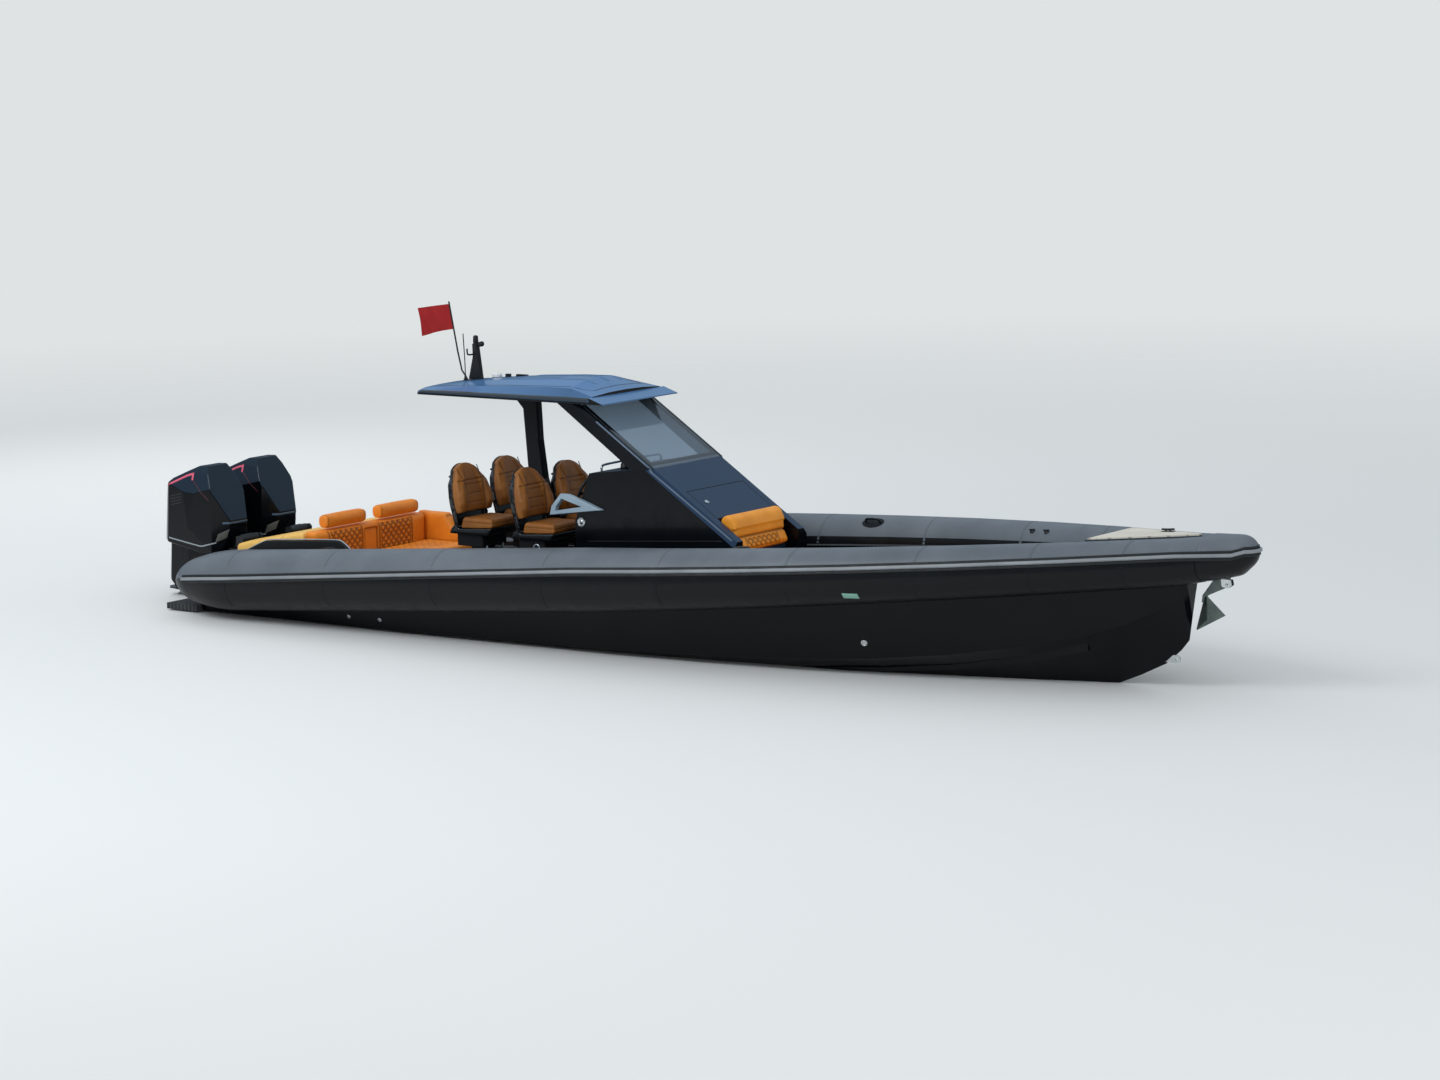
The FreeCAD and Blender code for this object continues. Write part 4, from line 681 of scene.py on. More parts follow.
# Black rubber trim, also used as painted shade in the grooves of the console and the roof.
black_trim_and_groove_shade = moulded("rubber_black_trim_and_groove_shade", "#121315", "#0c0d0e", (0.4, 0.6))
edge_trim_and_highlight = painted("paint_steel_blue_edge_and_highlight", "#4b5f75", "#3f5266")
# Steel-blue trim, also used as a painted highlight down the windscreen frames' front edges.
grey_trim = painted("paint_light_grey_trim", "#9fa9b1", "#8d979f")
white_plastic = painted("plastic_white_moulded", "#e6e8e8", "#d6d9da")
grey_latch = painted("plastic_warm_grey_latch", "#5a5b57", "#4b4c49", 0.001, 0.00005)
dim_red = painted("film_red_stripe_shaded", "#5c1f2b", "#4c1923", 0.002, 0.00003)
red_trim = painted("film_red_stripe", "#e0647f", "#cf5570", 0.002, 0.00003)
screen_black = gloss("display_glass_black", "#06080b", "#040507", (0.04, 0.08), 0.6, 0.000005)
lens_green = gloss("lens_pale_green", "#7fae9d", "#6c9c8b", (0.1, 0.2), 0.4)
lens_red = gloss("lens_pale_red", "#b07a78", "#a16b69", (0.1, 0.2), 0.4)
lens = gloss("lens_milky", "#cfd8df", "#bcc7cf", (0.1, 0.2), 0.5)


# Helm seats, bow seat and aft lounge
SEATS = [(-2.13, 0.315), (-2.13, -0.315), (-2.9, 0.315), (-2.9, -0.315)]
SEAT_FLOOR = 0.9
BACK_FOOT, BACK_TOP = Vector((0.15, 0, 0.062)), Vector((0.036, 0, 0.648))
BACK_UP = (BACK_TOP - BACK_FOOT).normalized()
BACK_OUT = Vector((BACK_UP.z, 0, -BACK_UP.x))


def seat_offsets(node):
    """Where each of the four like solids stands, from the first one."""
    order = sorted(SEATS, key=lambda s: (s[0], s[1]))
    first = order[0]
    return first, [(x - first[0], y - first[1], 0) for x, y in order]


def seat_back_seams(first):
    def sewn(p, n):
        local = Vector((p.x - first[0], p.y - first[1], p.z - SEAT_FLOOR)) - BACK_FOOT
        up, side, out = local.dot(BACK_UP), abs(local.y), n.dot(BACK_OUT)
        if out < 0.25:
            return 0.0
        depth = groove(side - 0.135, 0.007, 0.009)
        depth = max(depth, groove(up - 0.44, 0.007, 0.009))
        if side < 0.13 and up < 0.44:
            depth = max(depth, groove((up % 0.088) - 0.044, 0.008, 0.005))
        return depth * min(1.0, (out - 0.25) * 2)
    return sewn


def seat_bottom_seams(first):
    def sewn(p, n):
        x, side = p.x - first[0], abs(p.y - first[1])
        if n.z < 0.3:
            return groove(p.z - SEAT_FLOOR - 0.125, 0.005, 0.004)
        depth = groove(side - 0.15, 0.007, 0.009)
        depth = max(depth, groove(x - 0.53, 0.006, 0.006))
        if side < 0.145 and x < 0.52:
            depth = max(depth, groove(((x - 0.2) % 0.08) - 0.04, 0.008, 0.005))
        return depth * min(1.0, (n.z - 0.3) * 2)
    return sewn


def smooth(value, low, high):
    """From 0 below low to 1 above high, with soft ends."""
    share = min(max((value - low) / (high - low), 0.0), 1.0)
    return share * share * (3 - 2 * share)


def seat_head(first, wider, taller):
    """Draws the head of a seat's back in to a rounded top. The pad also laps over the shell's rim."""
    def form(p):
        local = Vector((p.x - first[0], p.y - first[1], p.z - SEAT_FLOOR)) - BACK_FOOT
        up, out = local.dot(BACK_UP), local.dot(BACK_OUT)
        if up < 0.05:
            return Vector((0, 0, 0))
        head = smooth(up, 0.40, 0.62)
        round_top = -2.2 * head * local.y * local.y
        lap = math.copysign(wider * smooth(out, 0.02, 0.06), local.y) * smooth(abs(local.y), 0.1, 0.2)
        return Vector((0, lap - local.y * 0.16 * head, 0)) + BACK_UP * (taller * head + round_top)
    return form


first, offsets = seat_offsets("seat_backs")
shell = remade("seat_shell_form", "seat_shells", 0, 0.011, seat_head(first, 0, 0))
paint(shell.data, nodes["seat_shells"].data.materials[0])
for piece in spread(shell, offsets):
    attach(piece, "boat")
    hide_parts("seat_shells")
stuffed("seat_back_pad", "seat_backs", 0, 0.0125, 0.008, [-BACK_OUT], seat_back_seams(first), tan, offsets,
        form=seat_head(first, 0.018, 0.034))
stuffed("seat_bottom_pad", "seat_bottoms", 0, 0.0125, 0.008, [-UPWARD], seat_bottom_seams(first), tan,
        offsets)


def bow_cushion_seams(p, n):
    if n.z > 0.4:
        return groove(p.x - 0.86, 0.008, 0.008) + groove(abs(p.y) - 0.2, 0.008, 0.006)
    return groove(p.z - 0.83, 0.006, 0.004)


BOW_OUT, BOW_UP = Vector((0.885, 0, 0.465)), Vector((-0.465, 0, 0.885))
BOLSTER_CENTRE, BOLSTER_RADIUS, BOLSTER_FOOT = Vector((0.4086, 0, 1.2045)), 0.078, -0.17
ROLL_ARC, PAD_FACE = 0.105, 0.018


def full_bolster(p):
    """The bolster of the bow seat hangs down over the upper third of its pad, as a longer roll."""
    up, out = (p - BOLSTER_CENTRE).dot(BOW_UP), (p - BOLSTER_CENTRE).dot(BOW_OUT)
    if out <= 0 or up >= 0 or up < BOLSTER_FOOT:
        return Vector((0, 0, 0))
    reach = math.hypot(up, out)
    if reach < BOLSTER_RADIUS + 0.002 or up > -0.076:
        arc, share = BOLSTER_RADIUS * math.atan2(-up, out), reach / BOLSTER_RADIUS
    else:
        arc, share = ROLL_ARC - 0.076 - up, min(1.0, out / PAD_FACE)
    new_up = BOLSTER_FOOT * min(1.0, arc / (ROLL_ARC - 0.076 - BOLSTER_FOOT))
    new_out = BOLSTER_RADIUS * math.sqrt(1 - (new_up / (BOLSTER_FOOT - 0.005)) ** 2)
    return BOW_UP * (new_up - up) + BOW_OUT * (max(new_out, PAD_FACE) * share - out)


def bow_back_seams(p, n):
    """Diamonds in the middle of the pad below the plain bolster."""
    up = (p - BOLSTER_CENTRE).dot(BOW_UP)
    if n.dot(BOW_OUT) < 0.2:
        return 0.0
    depth = groove(up - BOLSTER_FOOT, 0.011, 0.011)
    if up > BOLSTER_FOOT:
        return depth
    depth = max(depth, groove(abs(p.y) - 0.25, 0.010, 0.010))
    if abs(p.y) < 0.24 and up < BOLSTER_FOOT - 0.02:
        return max(depth, groove(diamonds(p.y, up, 0.075), 0.012, 0.011))
    return depth


stuffed("bow_seat_cushion", "front_seat_cushion", 0, 0.015, 0.012, [-UPWARD, -AHEAD], bow_cushion_seams,
        amber)
bow_back = stuffed("bow_seat_back", "front_seat_back", 0, 0.011, 0.008, [-BOW_OUT], bow_back_seams, amber,
                   form=full_bolster)
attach(bow_back, "hatch")


def lower_seat(p):
    """The lounge cushion has sunk a little."""
    return Vector((0, 0, -0.26 * (p.z - 0.5)))


ROLL_CENTRE, ROLL_RADIUS, SQUARENESS = (-4.345, 0.935), 0.07, 3.2
BENCH_MIDDLE = -0.065


def squared(p):
    """A roll that is nearer to a rounded block."""
    x, z = (p.x - ROLL_CENTRE[0]) / ROLL_RADIUS, (p.z - ROLL_CENTRE[1]) / ROLL_RADIUS
    reach = math.hypot(x, z)
    if reach < 0.05:
        return Vector((0, 0, 0))
    block = reach / (abs(x) ** SQUARENESS + abs(z) ** SQUARENESS) ** (1 / SQUARENESS) - 1
    return Vector((x, 0, z)) * (ROLL_RADIUS * block)


def bench_seams(p, n):
    if n.z < 0.4:
        return groove(p.z - 0.575, 0.006, 0.004)
    depth = groove(min(abs(p.y - BENCH_MIDDLE - k) for k in (-0.42, 0, 0.42)), 0.008, 0.009)
    if p.x > -3.78:
        return depth
    return max(depth, groove(p.x + 3.79, 0.008, 0.008), groove(diamonds(p.x, p.y, 0.09), 0.007, 0.005))


def bench_back_seams(p, n):
    """Diamonds to both sides of a plain recess in the middle, and plain ends."""
    if n.x < 0.35:
        return groove(p.z - 0.8, 0.006, 0.003) if n.z < 0.5 else 0.0
    side = abs(p.y - BENCH_MIDDLE)
    depth = max(groove(side - 0.13, 0.011, 0.012), groove(side - 0.62, 0.010, 0.012))
    if 0.15 < side < 0.60 and p.z < 0.835:
        depth = max(depth, groove(diamonds(p.y, p.z, 0.078), 0.012, 0.011))
    if p.z < 0.80:
        depth = max(depth, groove(side - 0.092, 0.009, 0.010))
    if side < 0.092:
        depth = max(depth, groove(p.z - 0.80, 0.009, 0.010))
    return depth


def arm_pocket(p):
    """The middle of the backrest is set back, behind a folding armrest's frame."""
    inside = smooth(0.105 - abs(p.y - BENCH_MIDDLE), 0, 0.016) * smooth(0.80 - p.z, 0, 0.016)
    return Vector((-0.014 * inside * smooth(p.x, -4.36, -4.30), 0, 0))


def return_seams(p, n):
    return groove(abs(p.z - 0.58), 0.006, 0.004) if abs(n.y) > 0.5 else groove(p.x + 4.02, 0.008, 0.006)


def roll_seams(p, n):
    return groove(min(abs(abs(p.y) - 0.13), abs(abs(p.y) - 0.67)), 0.009, 0.006)


def sunpad_seams(p, n):
    if n.z < 0.4:
        return 0.0
    depth = groove(min(abs(p.y - k) for k in (-0.44, 0, 0.44)), 0.009, 0.012)
    return max(depth, groove(min(abs(p.x - k) for k in (-4.75, -5.06)), 0.009, 0.009))


stuffed("bench_seat_pad", "bench_seat_cushion", 0, 0.019, 0.014, [-UPWARD, -AHEAD], bench_seams, orange,
        form=lower_seat)
stuffed("bench_back_pad", "bench_back_cushions", 0, 0.0135, 0.010, [-AHEAD, -UPWARD], bench_back_seams,
        orange, form=arm_pocket)
stuffed("bench_return_pad", "bench_back_cushions", 1, 0.013, 0.008, [TO_PORT, -UPWARD], return_seams, orange)
for which, word in enumerate(("headrest_roll", "headrest_roll_port")):
    stuffed(word, "headrest_rolls", which, 0.011, 0.008, [-UPWARD], roll_seams, orange, form=squared)
stuffed("sunpad_cushion", "sunpad", 0, 0.023, 0.014, [Vector((0.2, 0, -0.98))], sunpad_seams, cream)


# Flag
STAFF_FOOT, STAFF_TOP = Vector((-3.117, 0, 2.609)), Vector((-3.213, 0, 3.096))


def make_flag():
    """A light cloth tied to its staff, in small waves that grow toward the fly."""
    up = (STAFF_TOP - STAFF_FOOT).normalized()
    hoist, fly_length, columns, rows = 0.25, 0.40, 72, 36
    corner = STAFF_TOP - up * (0.02 + hoist) + Vector((-0.0095, 0, 0))
    fly = Vector((-1, 0, -0.12)).normalized()
    bm = bmesh.new()
    grid = []
    for i in range(columns + 1):
        share = i / columns
        side = 0.016 * share * math.sin(9.5 * share + 0.4)
        line = []
        for j in range(rows + 1):
            rise = j / rows
            wave = side + 0.006 * share * math.sin(17 * share - 5 * rise)
            sag = -0.03 * share * share * (1.2 - rise)
            line.append(bm.verts.new(corner + up * hoist * rise + fly * fly_length * 0.985 * share
                                     + Vector((0, wave, sag))))
        grid.append(line)
    for a, b in zip(grid, grid[1:]):
        for p, q in zip(zip(a, a[1:]), zip(b, b[1:])):
            bm.faces.new((p[0], p[1], q[1], q[0]))
    obj = to_object("ensign", bm, coated_fabric("nylon_red_flag", "#a01c1f", "#871619", (0.6, 0.75))[0])
    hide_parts("flag")


make_flag()


# Tube seams, handles and fittings
def on_tube(x, angle, side, lift=0.08):
    """A point outside the tube at an angle above level from outboard, and the way back to it."""
    out = Vector((0, side * math.cos(math.radians(angle)), math.sin(math.radians(angle))))
    centre = axis_point(x)
    centre.y *= side
    return centre + out * (tube_radius(x) + lift), -out


def tube_patch(name, side, x, half, angles, thickness, material, shape=lambda share: 1.0):
    """A patch on a tube round a station, between two angles. Shape narrows it: share to share."""
    starts, ways = [], {}
    for i in range(17):
        share = i / 16
        angle = angles[0] + (angles[1] - angles[0]) * share
        row = []
        for j in range(7):
            start, way = on_tube(x + half * shape(share) * (j / 3 - 1), angle, side)
            row.append(start)
            ways[tuple(start)] = way
        starts.append(row)
    skin(name, [f"tube_{SIDES[side]}"], starts, lambda p: ways[tuple(p)], thickness, material)


def oval(share):
    return math.sqrt(max(0.02, 1 - (2 * share - 1) ** 2))


tape = coated_fabric("hypalon_seam_tape", "#5d656c", "#535b62", (0.4, 0.5))[0]
black_tape = coated_fabric("hypalon_black_tape", "#0f1215", "#0a0d10", (0.45, 0.6))[0]
TAPE_HALF = 0.014
VALVE = [(0, 0.031), (0.002, 0.034), (0.005, 0.033), (0.006, 0.024), (0.008, 0.022), (0.011, 0.02),
         (0.012, 0.004)]
for side, word in SIDES.items():
    for i, x in enumerate((-4.84, -3.55, -2.2, -0.85, 0.45, 1.75, 2.95, 3.95, 4.72)):
        tube_patch(f"seam_top_{word}_{i}", side, x, TAPE_HALF, (28, 172), 0.0011, tape)
        tube_patch(f"seam_low_{word}_{i}", side, x, TAPE_HALF, (4, -50), 0.0011, black_tape)
    for i, x in enumerate((-3.9, -1.6, 1.05)):
        tube_patch(f"handle_patch_{word}_{i}", side, x, 0.13, (112, 140), 0.003, black_tape, oval)
        feet = [on_tube(x + dx, 126, side, -0.001)[0] for dx in (-0.085, -0.06, 0.06, 0.085)]
        out = -on_tube(x, 126, side)[1]
        lifts = ((0, 0), (0, 0.03), (1, 0.052), (2, 0.052), (3, 0.03), (3, 0))
        sweep(f"carry_handle_{word}_{i}", [feet[k] + out * lift for k, lift in lifts], 0.011, black_trim_and_groove_shade,
              flat=0.7)
    for i, (x, angle) in enumerate(((-5.2, 118), (4.2, 120))):
        stand(f"inflation_valve_{word}_{i}", VALVE, [f"tube_{word}"], *on_tube(x, angle, side), black_trim_and_groove_shade)

for i, x in enumerate((3.06, 3.24)):
    foot, out = stand(f"tube_eye_foot_{i}", [(0, 0.026), (0.003, 0.028), (0.008, 0.024), (0.012, 0.012),
                      (0.013, 0.003)], ["tube_port"], *on_tube(x, 135, 1), black_trim_and_groove_shade)
    bow = ((-0.02, 0.006), (-0.02, 0.028), (0.02, 0.028), (0.02, 0.006))
    sweep(f"tube_eye_{i}", [foot + AHEAD * dx + out * dz for dx, dz in bow], 0.005, black_trim_and_groove_shade)


# The nose, with its facets rounded off
def make_nose():
    nose = remade("nose_round", "bow_cap", 0, 0.012)
    group = nose.vertex_groups.new(name="free")
    for vert in nose.data.vertices:
        group.add([vert.index], smooth(vert.co.x, 5.33, 5.42), "REPLACE")
    soften = nose.modifiers.new("soften", "SMOOTH")
    soften.vertex_group, soften.iterations, soften.factor = "free", 26, 0.5
    evaluated(nose)
    for vert, normal in [(v, v.normal.copy()) for v in nose.data.vertices]:
        vert.co += normal * (SHRINK + 0.002 * smooth(vert.co.x, 5.33, 5.42))
        vert.co.x -= 0.03 * (1 - smooth(vert.co.x, 5.3, 5.4))
    paint(nose.data, tubes)
    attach(nose, "boat")
    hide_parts("bow_cap")


make_nose()


# Side deck foam, cockpit mats and the coamings beside the lounge
def well_side(x):
    """Half the width of the cockpit well at a station."""
    if x < -0.2:
        return 0.925
    return 0.925 - (x + 0.2) * (0.125 / 1.7) if x < 1.5 else 0.8 - (x - 1.5) * 0.1861


COAMING = [(-5.20, 0.409), (-5.20, 0.60), (-4.88, 0.742), (-4.80, 0.755), (-3.92, 0.815), (-3.84, 0.80),
           (-3.66, 0.66), (-3.66, 0.526)]
COAMING_EDGE = [(-5.18, 0.615), (-4.86, 0.757), (-4.78, 0.765), (-3.93, 0.823), (-3.84, 0.81), (-3.68, 0.682)]
for side, word in SIDES.items():
    starts = []
    for i in range(60):
        x = -4.86 + 7.9 * i / 59
        inner, outer = well_side(x) + 0.012, axis_point(x).y - tube_radius(x) - 0.014
        starts.append([Vector((x, side * (inner + (outer - inner) * j / 5), 1.4)) for j in range(6)])
    skin(f"side_deck_foam_{word}", ["hull"], starts, -UPWARD, 0.005, black_foam)
    plate(f"lounge_coaming_{word}", [(x, side * 0.934, z) for x, z in COAMING], (0, side * 0.05, 0),
          black_trim_and_groove_shade, rounding=0.012)
    sweep(f"coaming_edge_{word}", [(x, side * 0.96, z) for x, z in COAMING_EDGE], 0.009, grey_trim, flat=0.6)
    arch = [(-1.16 + 0.035 * math.cos(t), side * 1.262, 0.972 + 0.035 * math.sin(t))
            for t in [math.pi * k / 8 for k in range(9)]]
    sweep(f"tube_ring_{word}", arch, 0.006, steel)

mat = planked("foam_grey_cockpit_mat", "#4b4f52", "#1b1d1f", 0.06)
SOLE = 0.3004
MATS = {
    "aft": [(-3.58, -0.88), (-3.0, -0.88), (-3.0, 0.88), (-3.58, 0.88)],
    "port": [(-2.98, 0.6), (0.55, 0.6), (0.55, 0.8), (-0.2, 0.88), (-2.98, 0.88)],
    "starboard": [(-2.98, -0.88), (-0.2, -0.88), (0.55, -0.8), (0.55, -0.6), (-2.98, -0.6)],
    "bow": [(1.19, -0.76), (1.5, -0.74), (3.22, -0.42), (3.22, 0.42), (1.5, 0.74), (1.19, 0.76)],
}
for word, rows in MATS.items():
    plate(f"sole_mat_{word}", [(x, y, SOLE) for x, y in rows], (0, 0, 0.006), mat, rounding=0.002)

# Hull fittings
OUTLET = [(0, 0.03), (0.004, 0.032), (0.009, 0.028), (0.01, 0.02), (0.003, 0.018), (0.002, 0.002)]
DRAIN = [(0, 0.02), (0.003, 0.022), (0.007, 0.019), (0.008, 0.013), (0.002, 0.012), (0.001, 0.002)]
for side, word in SIDES.items():
    inboard = TO_PORT * -side
    grid = [[Vector((2.29 + 0.14 * i / 8, side * 1.8, 0.765 + 0.048 * j / 5)) for j in range(6)]
            for i in range(9)]
    skin(f"side_light_{word}", [f"tube_{word}", "hull"], grid, inboard, 0.006,
         lens_red if side == 1 else lens_green)
    stand(f"hull_outlet_{word}", OUTLET, ["hull"], Vector((2.275, side * 1.9, 0.314)), inboard, steel)
    for i, x in enumerate((-3.2, -3.6)):
        stand(f"hull_drain_{word}_{i}", DRAIN, ["hull"], Vector((x, side * 1.9, 0.12)), inboard, steel)

# Console: painted groove shade, speakers, dash, latch and handles
GLASS_FOOT, GLASS_TOP, GLASS_RUN = 1.055, 1.68, 0.95
SLOPE = (GLASS_TOP - GLASS_FOOT) / GLASS_RUN
FRONT_OUT = Vector((SLOPE, 0, 1)).normalized()
CAST = 0.2


def front_point(z, y, lift=CAST):
    """A point over the plane of the windscreen and the console's front."""
    return Vector((-0.33 - (z - GLASS_TOP) / SLOPE, y, z)) + FRONT_OUT * lift


SPEAKER = [(0, 0.046), (0.004, 0.05), (0.009, 0.047), (0.010, 0.041), (0.006, 0.039), (0.005, 0.022),
           (0.011, 0.014), (0.013, 0.003)]
for side, word in SIDES.items():
    inboard = TO_PORT * -side
    # Painted shade: a dark line along each side of the console where its groove runs.
    strip(f"console_groove_{word}", ["console"], [(-1.09, side * 0.9, 0.952), (0.53, side * 0.9, 1.064)], 24,
          0.007, UPWARD, inboard, 0.0012, black_trim_and_groove_shade)
    strip(f"console_trim_{word}", ["console"], [(-1.2, side * 0.9, 0.62), (0.58, side * 0.9, 0.62)], 16, 0.02,
          UPWARD, inboard, 0.003, grey_trim)
    lathe(f"speaker_{word}", SPEAKER, (-1.165, side * 0.5753, 1.13), (0, side, 0), steel)
    # Painted highlight: a blue-grey line down the front edge of each windscreen frame and the console below
    # it.
    edge_highlight_path = [front_point(z, side * y) for z, y in ((2.1, 0.557), (1.69, 0.557), (1.08, 0.545))]
    strip(f"frame_edge_{word}", ["windscreen_pillars", "console"], edge_highlight_path, 60, 0.012, TO_PORT, -FRONT_OUT,
          0.003, edge_trim_and_highlight)
    strip(f"glass_border_{word}", ["windscreen_glass"], [front_point(z, side * 0.487) for z in (2.235, 1.70)],
          20, 0.05, TO_PORT, -FRONT_OUT, 0.0016, screen_black)
strip("glass_border_low", ["windscreen_glass"], [front_point(1.715, y) for y in (-0.46, 0.46)], 16, 0.045,
      Vector((-1, 0, SLOPE)).normalized(), -FRONT_OUT, 0.0016, screen_black)
HELM_LOW, HELM_HIGH = Vector((-1.24, 0, 1.15)), Vector((-1.06, 0, 1.60))
HELM_UP = (HELM_HIGH - HELM_LOW).normalized()
HELM_OUT = Vector((-HELM_UP.z, 0, HELM_UP.x))


def on_helm(share, y, lift):
    """A point over the leaning helm face: share is how far up it is."""
    return HELM_LOW.lerp(HELM_HIGH, share) + TO_PORT * y + HELM_OUT * lift


def dash_plate(name, share, y, half_width, half_height, lift, thickness, material, rounding=0.003):
    """A rounded plate on the helm face."""
    rows = [on_helm(share, y + a * half_width, lift) + HELM_UP * (b * half_height)
            for a, b in ((-1, -1), (1, -1), (1, 1), (-1, 1))]
    plate(name, rows, HELM_OUT * thickness, material, rounding=rounding)


for side, word in SIDES.items():
    y = 0.148 * side
    dash_plate(f"display_bezel_{word}", 0.795, y, 0.14, 0.076, 0.0146, 0.008, plastic, 0.006)
    dash_plate(f"display_glass_{word}", 0.795, y, 0.126, 0.062, 0.0228, 0.0015, screen_black, 0.0007)
dash_plate("switch_panel", 0.52, 0.2, 0.15, 0.045, 0.0004, 0.006, plastic)
for i in range(6):
    dash_plate(f"switch_{i}", 0.52, 0.085 + 0.045 * i, 0.014, 0.024, 0.0066, 0.006, black_trim_and_groove_shade, 0.002)
for i, (share, y) in enumerate(((0.52, -0.46), (0.36, -0.46), (0.36, 0.44))):
    lathe(f"gauge_{i}", [(0, 0.034), (0.008, 0.036), (0.014, 0.033), (0.014, 0.028), (0.009, 0.027),
          (0.009, 0.002)], on_helm(share, y, 0.0003), HELM_OUT, steel)
    lathe(f"gauge_face_{i}", [(0.0, 0.026), (0.001, 0.0262), (0.0015, 0.002)], on_helm(share, y, 0.0096),
          HELM_OUT, screen_black)
lathe("wheel_cap", [(0, 0.036), (0.006, 0.037), (0.012, 0.03), (0.015, 0.012), (0.0155, 0.002)],
      on_helm(0.4, -0.27, 0.1365), HELM_OUT, steel, body="wheel")


def console_top(x):
    return 1.60 + (x + 1.06) * 0.06 / 0.5


lathe("compass", [(0, 0.05), (0.012, 0.052), (0.02, 0.046), (0.045, 0.042), (0.062, 0.03), (0.07, 0.012),
      (0.072, 0.002)], (-0.86, -0.27, console_top(-0.86) + 0.0005), (-0.12, 0, 1), plastic)
rail = [(-1.0, y, console_top(-1.0) + dz)
        for y, dz in ((-0.46, 0), (-0.46, 0.05), (-0.4, 0.065), (0.4, 0.065), (0.46, 0.05), (0.46, 0))]
sweep("dash_grab_rail", rail, 0.011, steel)
lathe("hatch_latch", [(0, 0.024), (0.003, 0.026), (0.006, 0.023), (0.006, 0.012), (0.009, 0.010),
      (0.009, 0.002)], front_point(1.375, -0.33, 0.0005), FRONT_OUT, steel, body="hatch")

# Hardtop: painted groove shade and ribs on top, lights below, and what stands on it
OVER_ROOF = 2.8
CORNERS = [(x, y, OVER_ROOF) for x, y in ((-3.06, -0.40), (-1.25, -0.412), (-1.14, -0.36), (-1.14, 0.36),
                                          (-1.25, 0.412), (-3.06, 0.40))]
# Painted shade: dark lines on the roof's top where its grooves run, and the way across each.
GROOVE_SHADES = {"starboard": (0, 1, 0), "turn_starboard": (0.7, 0.7, 0), "front": (1, 0, 0),
           "turn_port": (-0.7, 0.7, 0), "port": (0, 1, 0)}
for (word, across), *ends in zip(GROOVE_SHADES.items(), CORNERS, CORNERS[1:]):
    strip(f"roof_groove_{word}", ["hardtop"], ends, 30, 0.008, Vector(across), -UPWARD, 0.0012, black_trim_and_groove_shade)
for i, y in enumerate((-0.2, 0.0, 0.2)):
    strip(f"roof_rib_{i}", ["hardtop"], [(-2.28, y, OVER_ROOF), (-1.25, y, OVER_ROOF)], 26, 0.03, TO_PORT,
          -UPWARD, 0.004, roof_coat)
for i, (x, y) in enumerate(((-1.35, -0.3), (-1.35, 0.3), (-2.8, -0.3), (-2.8, 0.3))):
    lathe(f"roof_lamp_{i}", [(0, 0.036), (0.004, 0.038), (0.009, 0.032), (0.009, 0.026), (0.006, 0.025),
          (0.006, 0.002)], (x, y, 2.2498), -UPWARD, steel)
    lathe(f"roof_lamp_lens_{i}", [(0, 0.0245), (0.002, 0.024), (0.0025, 0.002)], (x, y, 2.2437), -UPWARD,
          lens)
for side, word in SIDES.items():
    ends = [(x, side * 0.563, OVER_ROOF) for x in (-3.13, -1.06)]
    strip(f"roof_rim_{word}", ["hardtop"], ends, 60, 0.04, TO_PORT, -UPWARD, 0.002, screen_black)
lathe("dome_cover", [(-0.02, 0.0485), (-0.005, 0.0495), (0.006, 0.047), (0.014, 0.038), (0.019, 0.024),
      (0.021, 0.003)], (-2.70, 0.09, 2.396), UPWARD, white_plastic)
lathe("mast_lamp", [(-0.030, 0.0265), (-0.006, 0.0275), (-0.004, 0.025), (0.022, 0.025), (0.034, 0.019),
      (0.038, 0.003)], (-2.886, 0, 2.745), UPWARD, black_trim_and_groove_shade)
plate("mast_foot", [(x, y, 2.3445 + (x + 2.86) * 0.09) for x, y in
                    ((-2.99, -0.05), (-2.77, -0.05), (-2.77, 0.05), (-2.99, 0.05))], (0, 0, 0.012), powder)
plate("mast_fin", [(x, -0.008, z) for x, z in ((-2.985, 2.35), (-2.90, 2.35), (-2.912, 2.60), (-2.93, 2.56))],
      (0, 0.016, 0), powder)
sweep("mast_yard", [(-2.885, y, z) for y, z in
                    ((-0.03, 2.60), (-0.12, 2.60), (-0.135, 2.615), (-0.135, 2.66))], 0.008, powder)
lathe("mast_camera", [(0, 0.012), (0.01, 0.024), (0.05, 0.026), (0.06, 0.022), (0.062, 0.01), (0.064, 0.002)],
      (-2.855, 0, 2.69), (1, 0, 0.25), black_trim_and_groove_shade)
sweep("whip_aerial", [(-3.03, 0, 2.325), (-3.03, 0, 2.5), (-3.045, 0, 2.79)], 0.005, black_trim_and_groove_shade)
lathe("aerial_foot", [(0, 0.02), (0.012, 0.019), (0.03, 0.012), (0.06, 0.008), (0.062, 0.003)],
      (-3.03, 0, 2.331), UPWARD, black_trim_and_groove_shade)


# Seats: piping, grab bars and foot rests on the shells
def on_back(base, up, out, y):
    """A point beside a seat's back, from the foot of its pad."""
    return base + BACK_FOOT + BACK_UP * up + BACK_OUT * out + TO_PORT * y


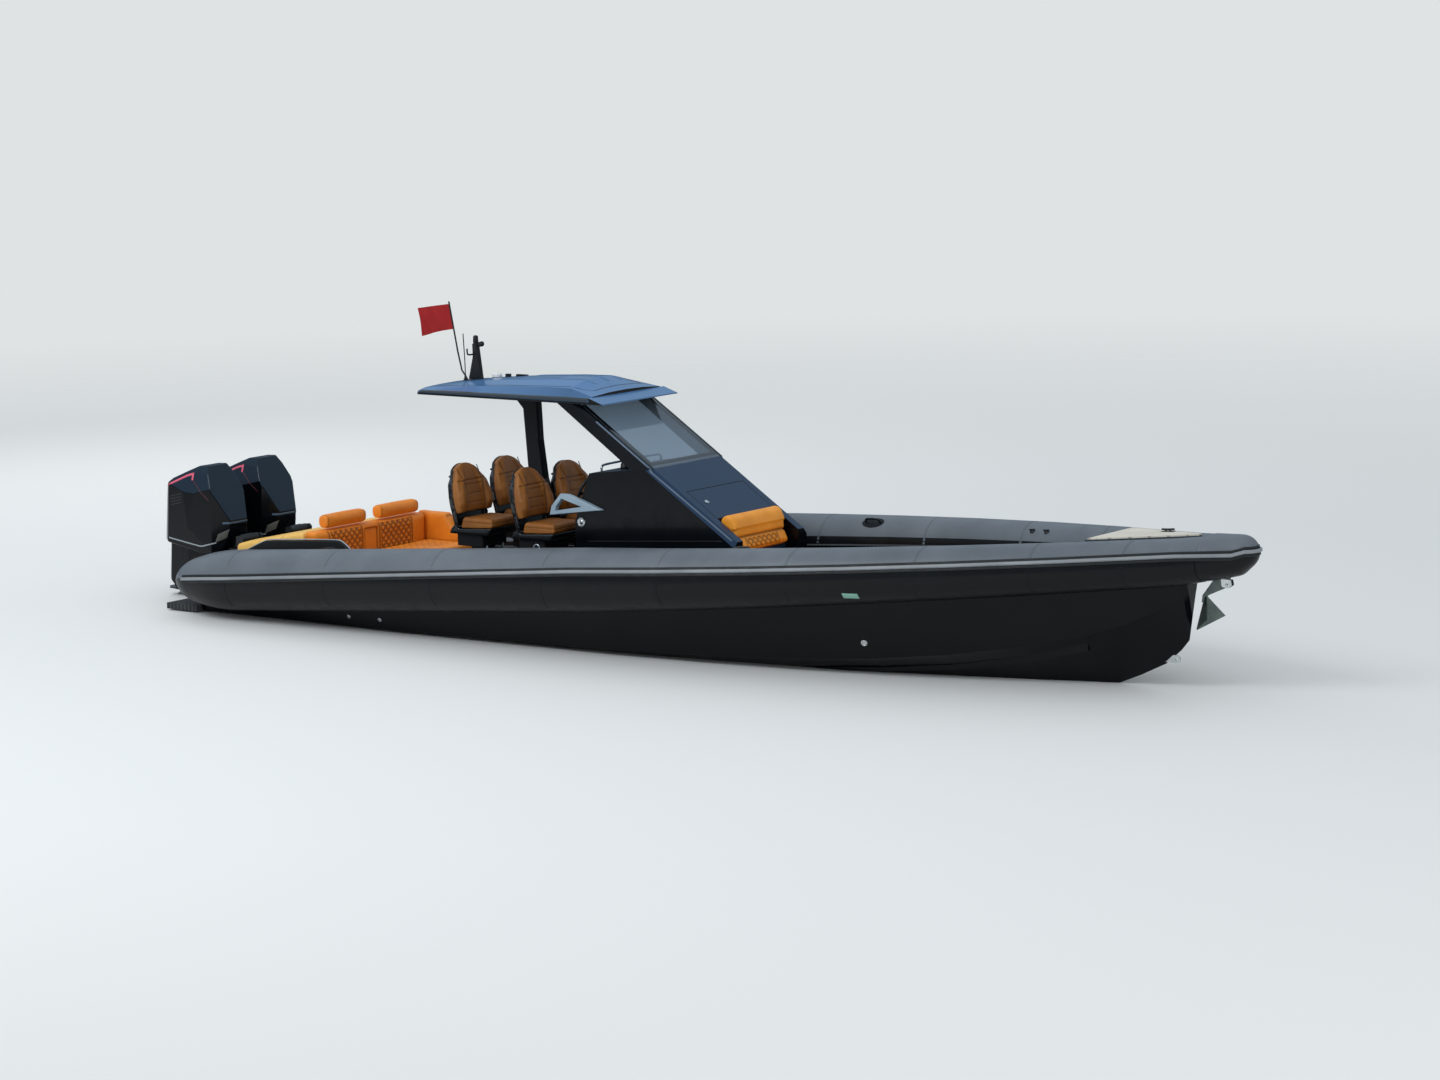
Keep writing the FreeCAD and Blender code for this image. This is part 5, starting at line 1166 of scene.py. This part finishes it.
PIPING = ((0.13, 0.239), (0.22, 0.247), (0.30, 0.247), (0.44, 0.221), (0.575, 0.180))
BAR = ((-0.025, -0.12), (-0.065, -0.12), (-0.075, -0.08), (-0.075, 0.08), (-0.065, 0.12), (-0.025, 0.12))
REST = ((0.44, -0.12, -0.10), (0.53, -0.13, -0.42), (0.53, 0.13, -0.42), (0.44, 0.12, -0.10))
for i, (x, y) in enumerate(SEATS):
    base = Vector((x, y, SEAT_FLOOR))
    for side, word in SIDES.items():
        sweep(f"seat_piping_{i}_{word}", [on_back(base, up, 0.05, side * half) for up, half in PIPING], 0.004,
              black_trim_and_groove_shade)
    sweep(f"seat_grab_bar_{i}", [on_back(base, 0.50, out, wide) for out, wide in BAR], 0.011, powder)
    sweep(f"seat_footrest_{i}", [base + Vector(p) for p in REST], 0.012, steel)

# Engines: stripes, seams, latches, vents and straps
ENGINE_Y = 0.368
for side, word in SIDES.items():
    body, cowl, middle = f"engine_{word}", [f"cowl_{word}"], side * ENGINE_Y
    for face, turn in (("outer", side), ("inner", -side)):
        toward, level = TO_PORT * -turn, middle + turn * 0.6
        for part, path, wide, across, film in (
                ("top", ((-6.56, 1.15), (-6.28, 1.272), (-6.205, 1.29)), 0.022, UPWARD, red_trim),
                ("turn", ((-6.215, 1.295), (-6.21, 1.225)), 0.022, AHEAD, red_trim),
                ("crease", ((-6.21, 1.235), (-5.976, 1.036)), 0.009, UPWARD, dim_red)):
            strip(f"cowl_stripe_{part}_{word}_{face}", cowl, [(x, level, z) for x, z in path], 14, wide,
                  across, toward, 0.0012, film, body)
        seam = [(-6.62, level, 0.63), (-6.10, level, 0.555), (-5.92, level, 0.60)]
        strip(f"cowl_seam_{word}_{face}", cowl, seam, 18, 0.014, UPWARD, toward, 0.002, grey_trim, body)
        corner = Vector((-5.93, level, 0.60))
        latch_plate = [[corner + Vector((0.1, 0, 0.05)) * (i / 6) + Vector((0.03, 0, 0.09)) * (j / 5)
                        for j in range(6)] for i in range(7)]
        skin(f"cowl_latch_{word}_{face}", cowl, latch_plate, toward, 0.004, grey_latch, body)
        for k in range(4):
            vent = [(-6.50, level, 1.05 - 0.03 * k), (-6.33, level, 1.09 - 0.03 * k)]
            strip(f"cowl_vent_{word}_{face}_{k}", cowl, vent, 8, 0.012, UPWARD, toward, 0.002, plastic, body)
    strap = [(-5.3, middle - 0.17, 0.80), (-5.3, middle + 0.17, 0.80)]
    strip(f"cowl_front_strip_{word}", cowl, strap, 16, 0.022, UPWARD, -AHEAD, 0.003, edge_trim_and_highlight, body)

# Bow: fittings on the pad, and the anchor's roller
plate("bow_cleat_foot", [(4.73, 0.10, 1.3485), (4.86, 0.10, 1.3585), (4.86, 0.16, 1.3585),
                         (4.73, 0.16, 1.3485)], (0, 0, 0.005), black_trim_and_groove_shade, rounding=0.002)
sweep("bow_cleat_bar", [(x, 0.13, z) for x, z in
                        ((4.735, 1.372), (4.77, 1.372), (4.82, 1.376), (4.855, 1.38))], 0.009, black_trim_and_groove_shade)
for i, x in enumerate((4.775, 4.815)):
    lathe(f"bow_cleat_post_{i}", [(0, 0.009), (0.008, 0.007), (0.018, 0.007), (0.022, 0.009)],
          (x, 0.13, 1.354 + 0.075 * (x - 4.775)), (-0.07, 0, 1), black_trim_and_groove_shade)
CHEEK = ((5.40, 1.005), (5.50, 1.0), (5.51, 0.955), (5.47, 0.925), (5.41, 0.935))
for side, word in SIDES.items():
    plate(f"anchor_cheek_{word}", [(x, side * 0.016, z) for x, z in CHEEK], (0, side * 0.005, 0), steel,
          rounding=0.0015)
HALF_PIN = [(0.021, 0.007), (0.022, 0.012), (0.027, 0.012), (0.03, 0.008)]
lathe("anchor_pin", [(-h, r) for h, r in HALF_PIN[::-1]] + HALF_PIN, (5.459, 0, 0.955), TO_PORT, steel)
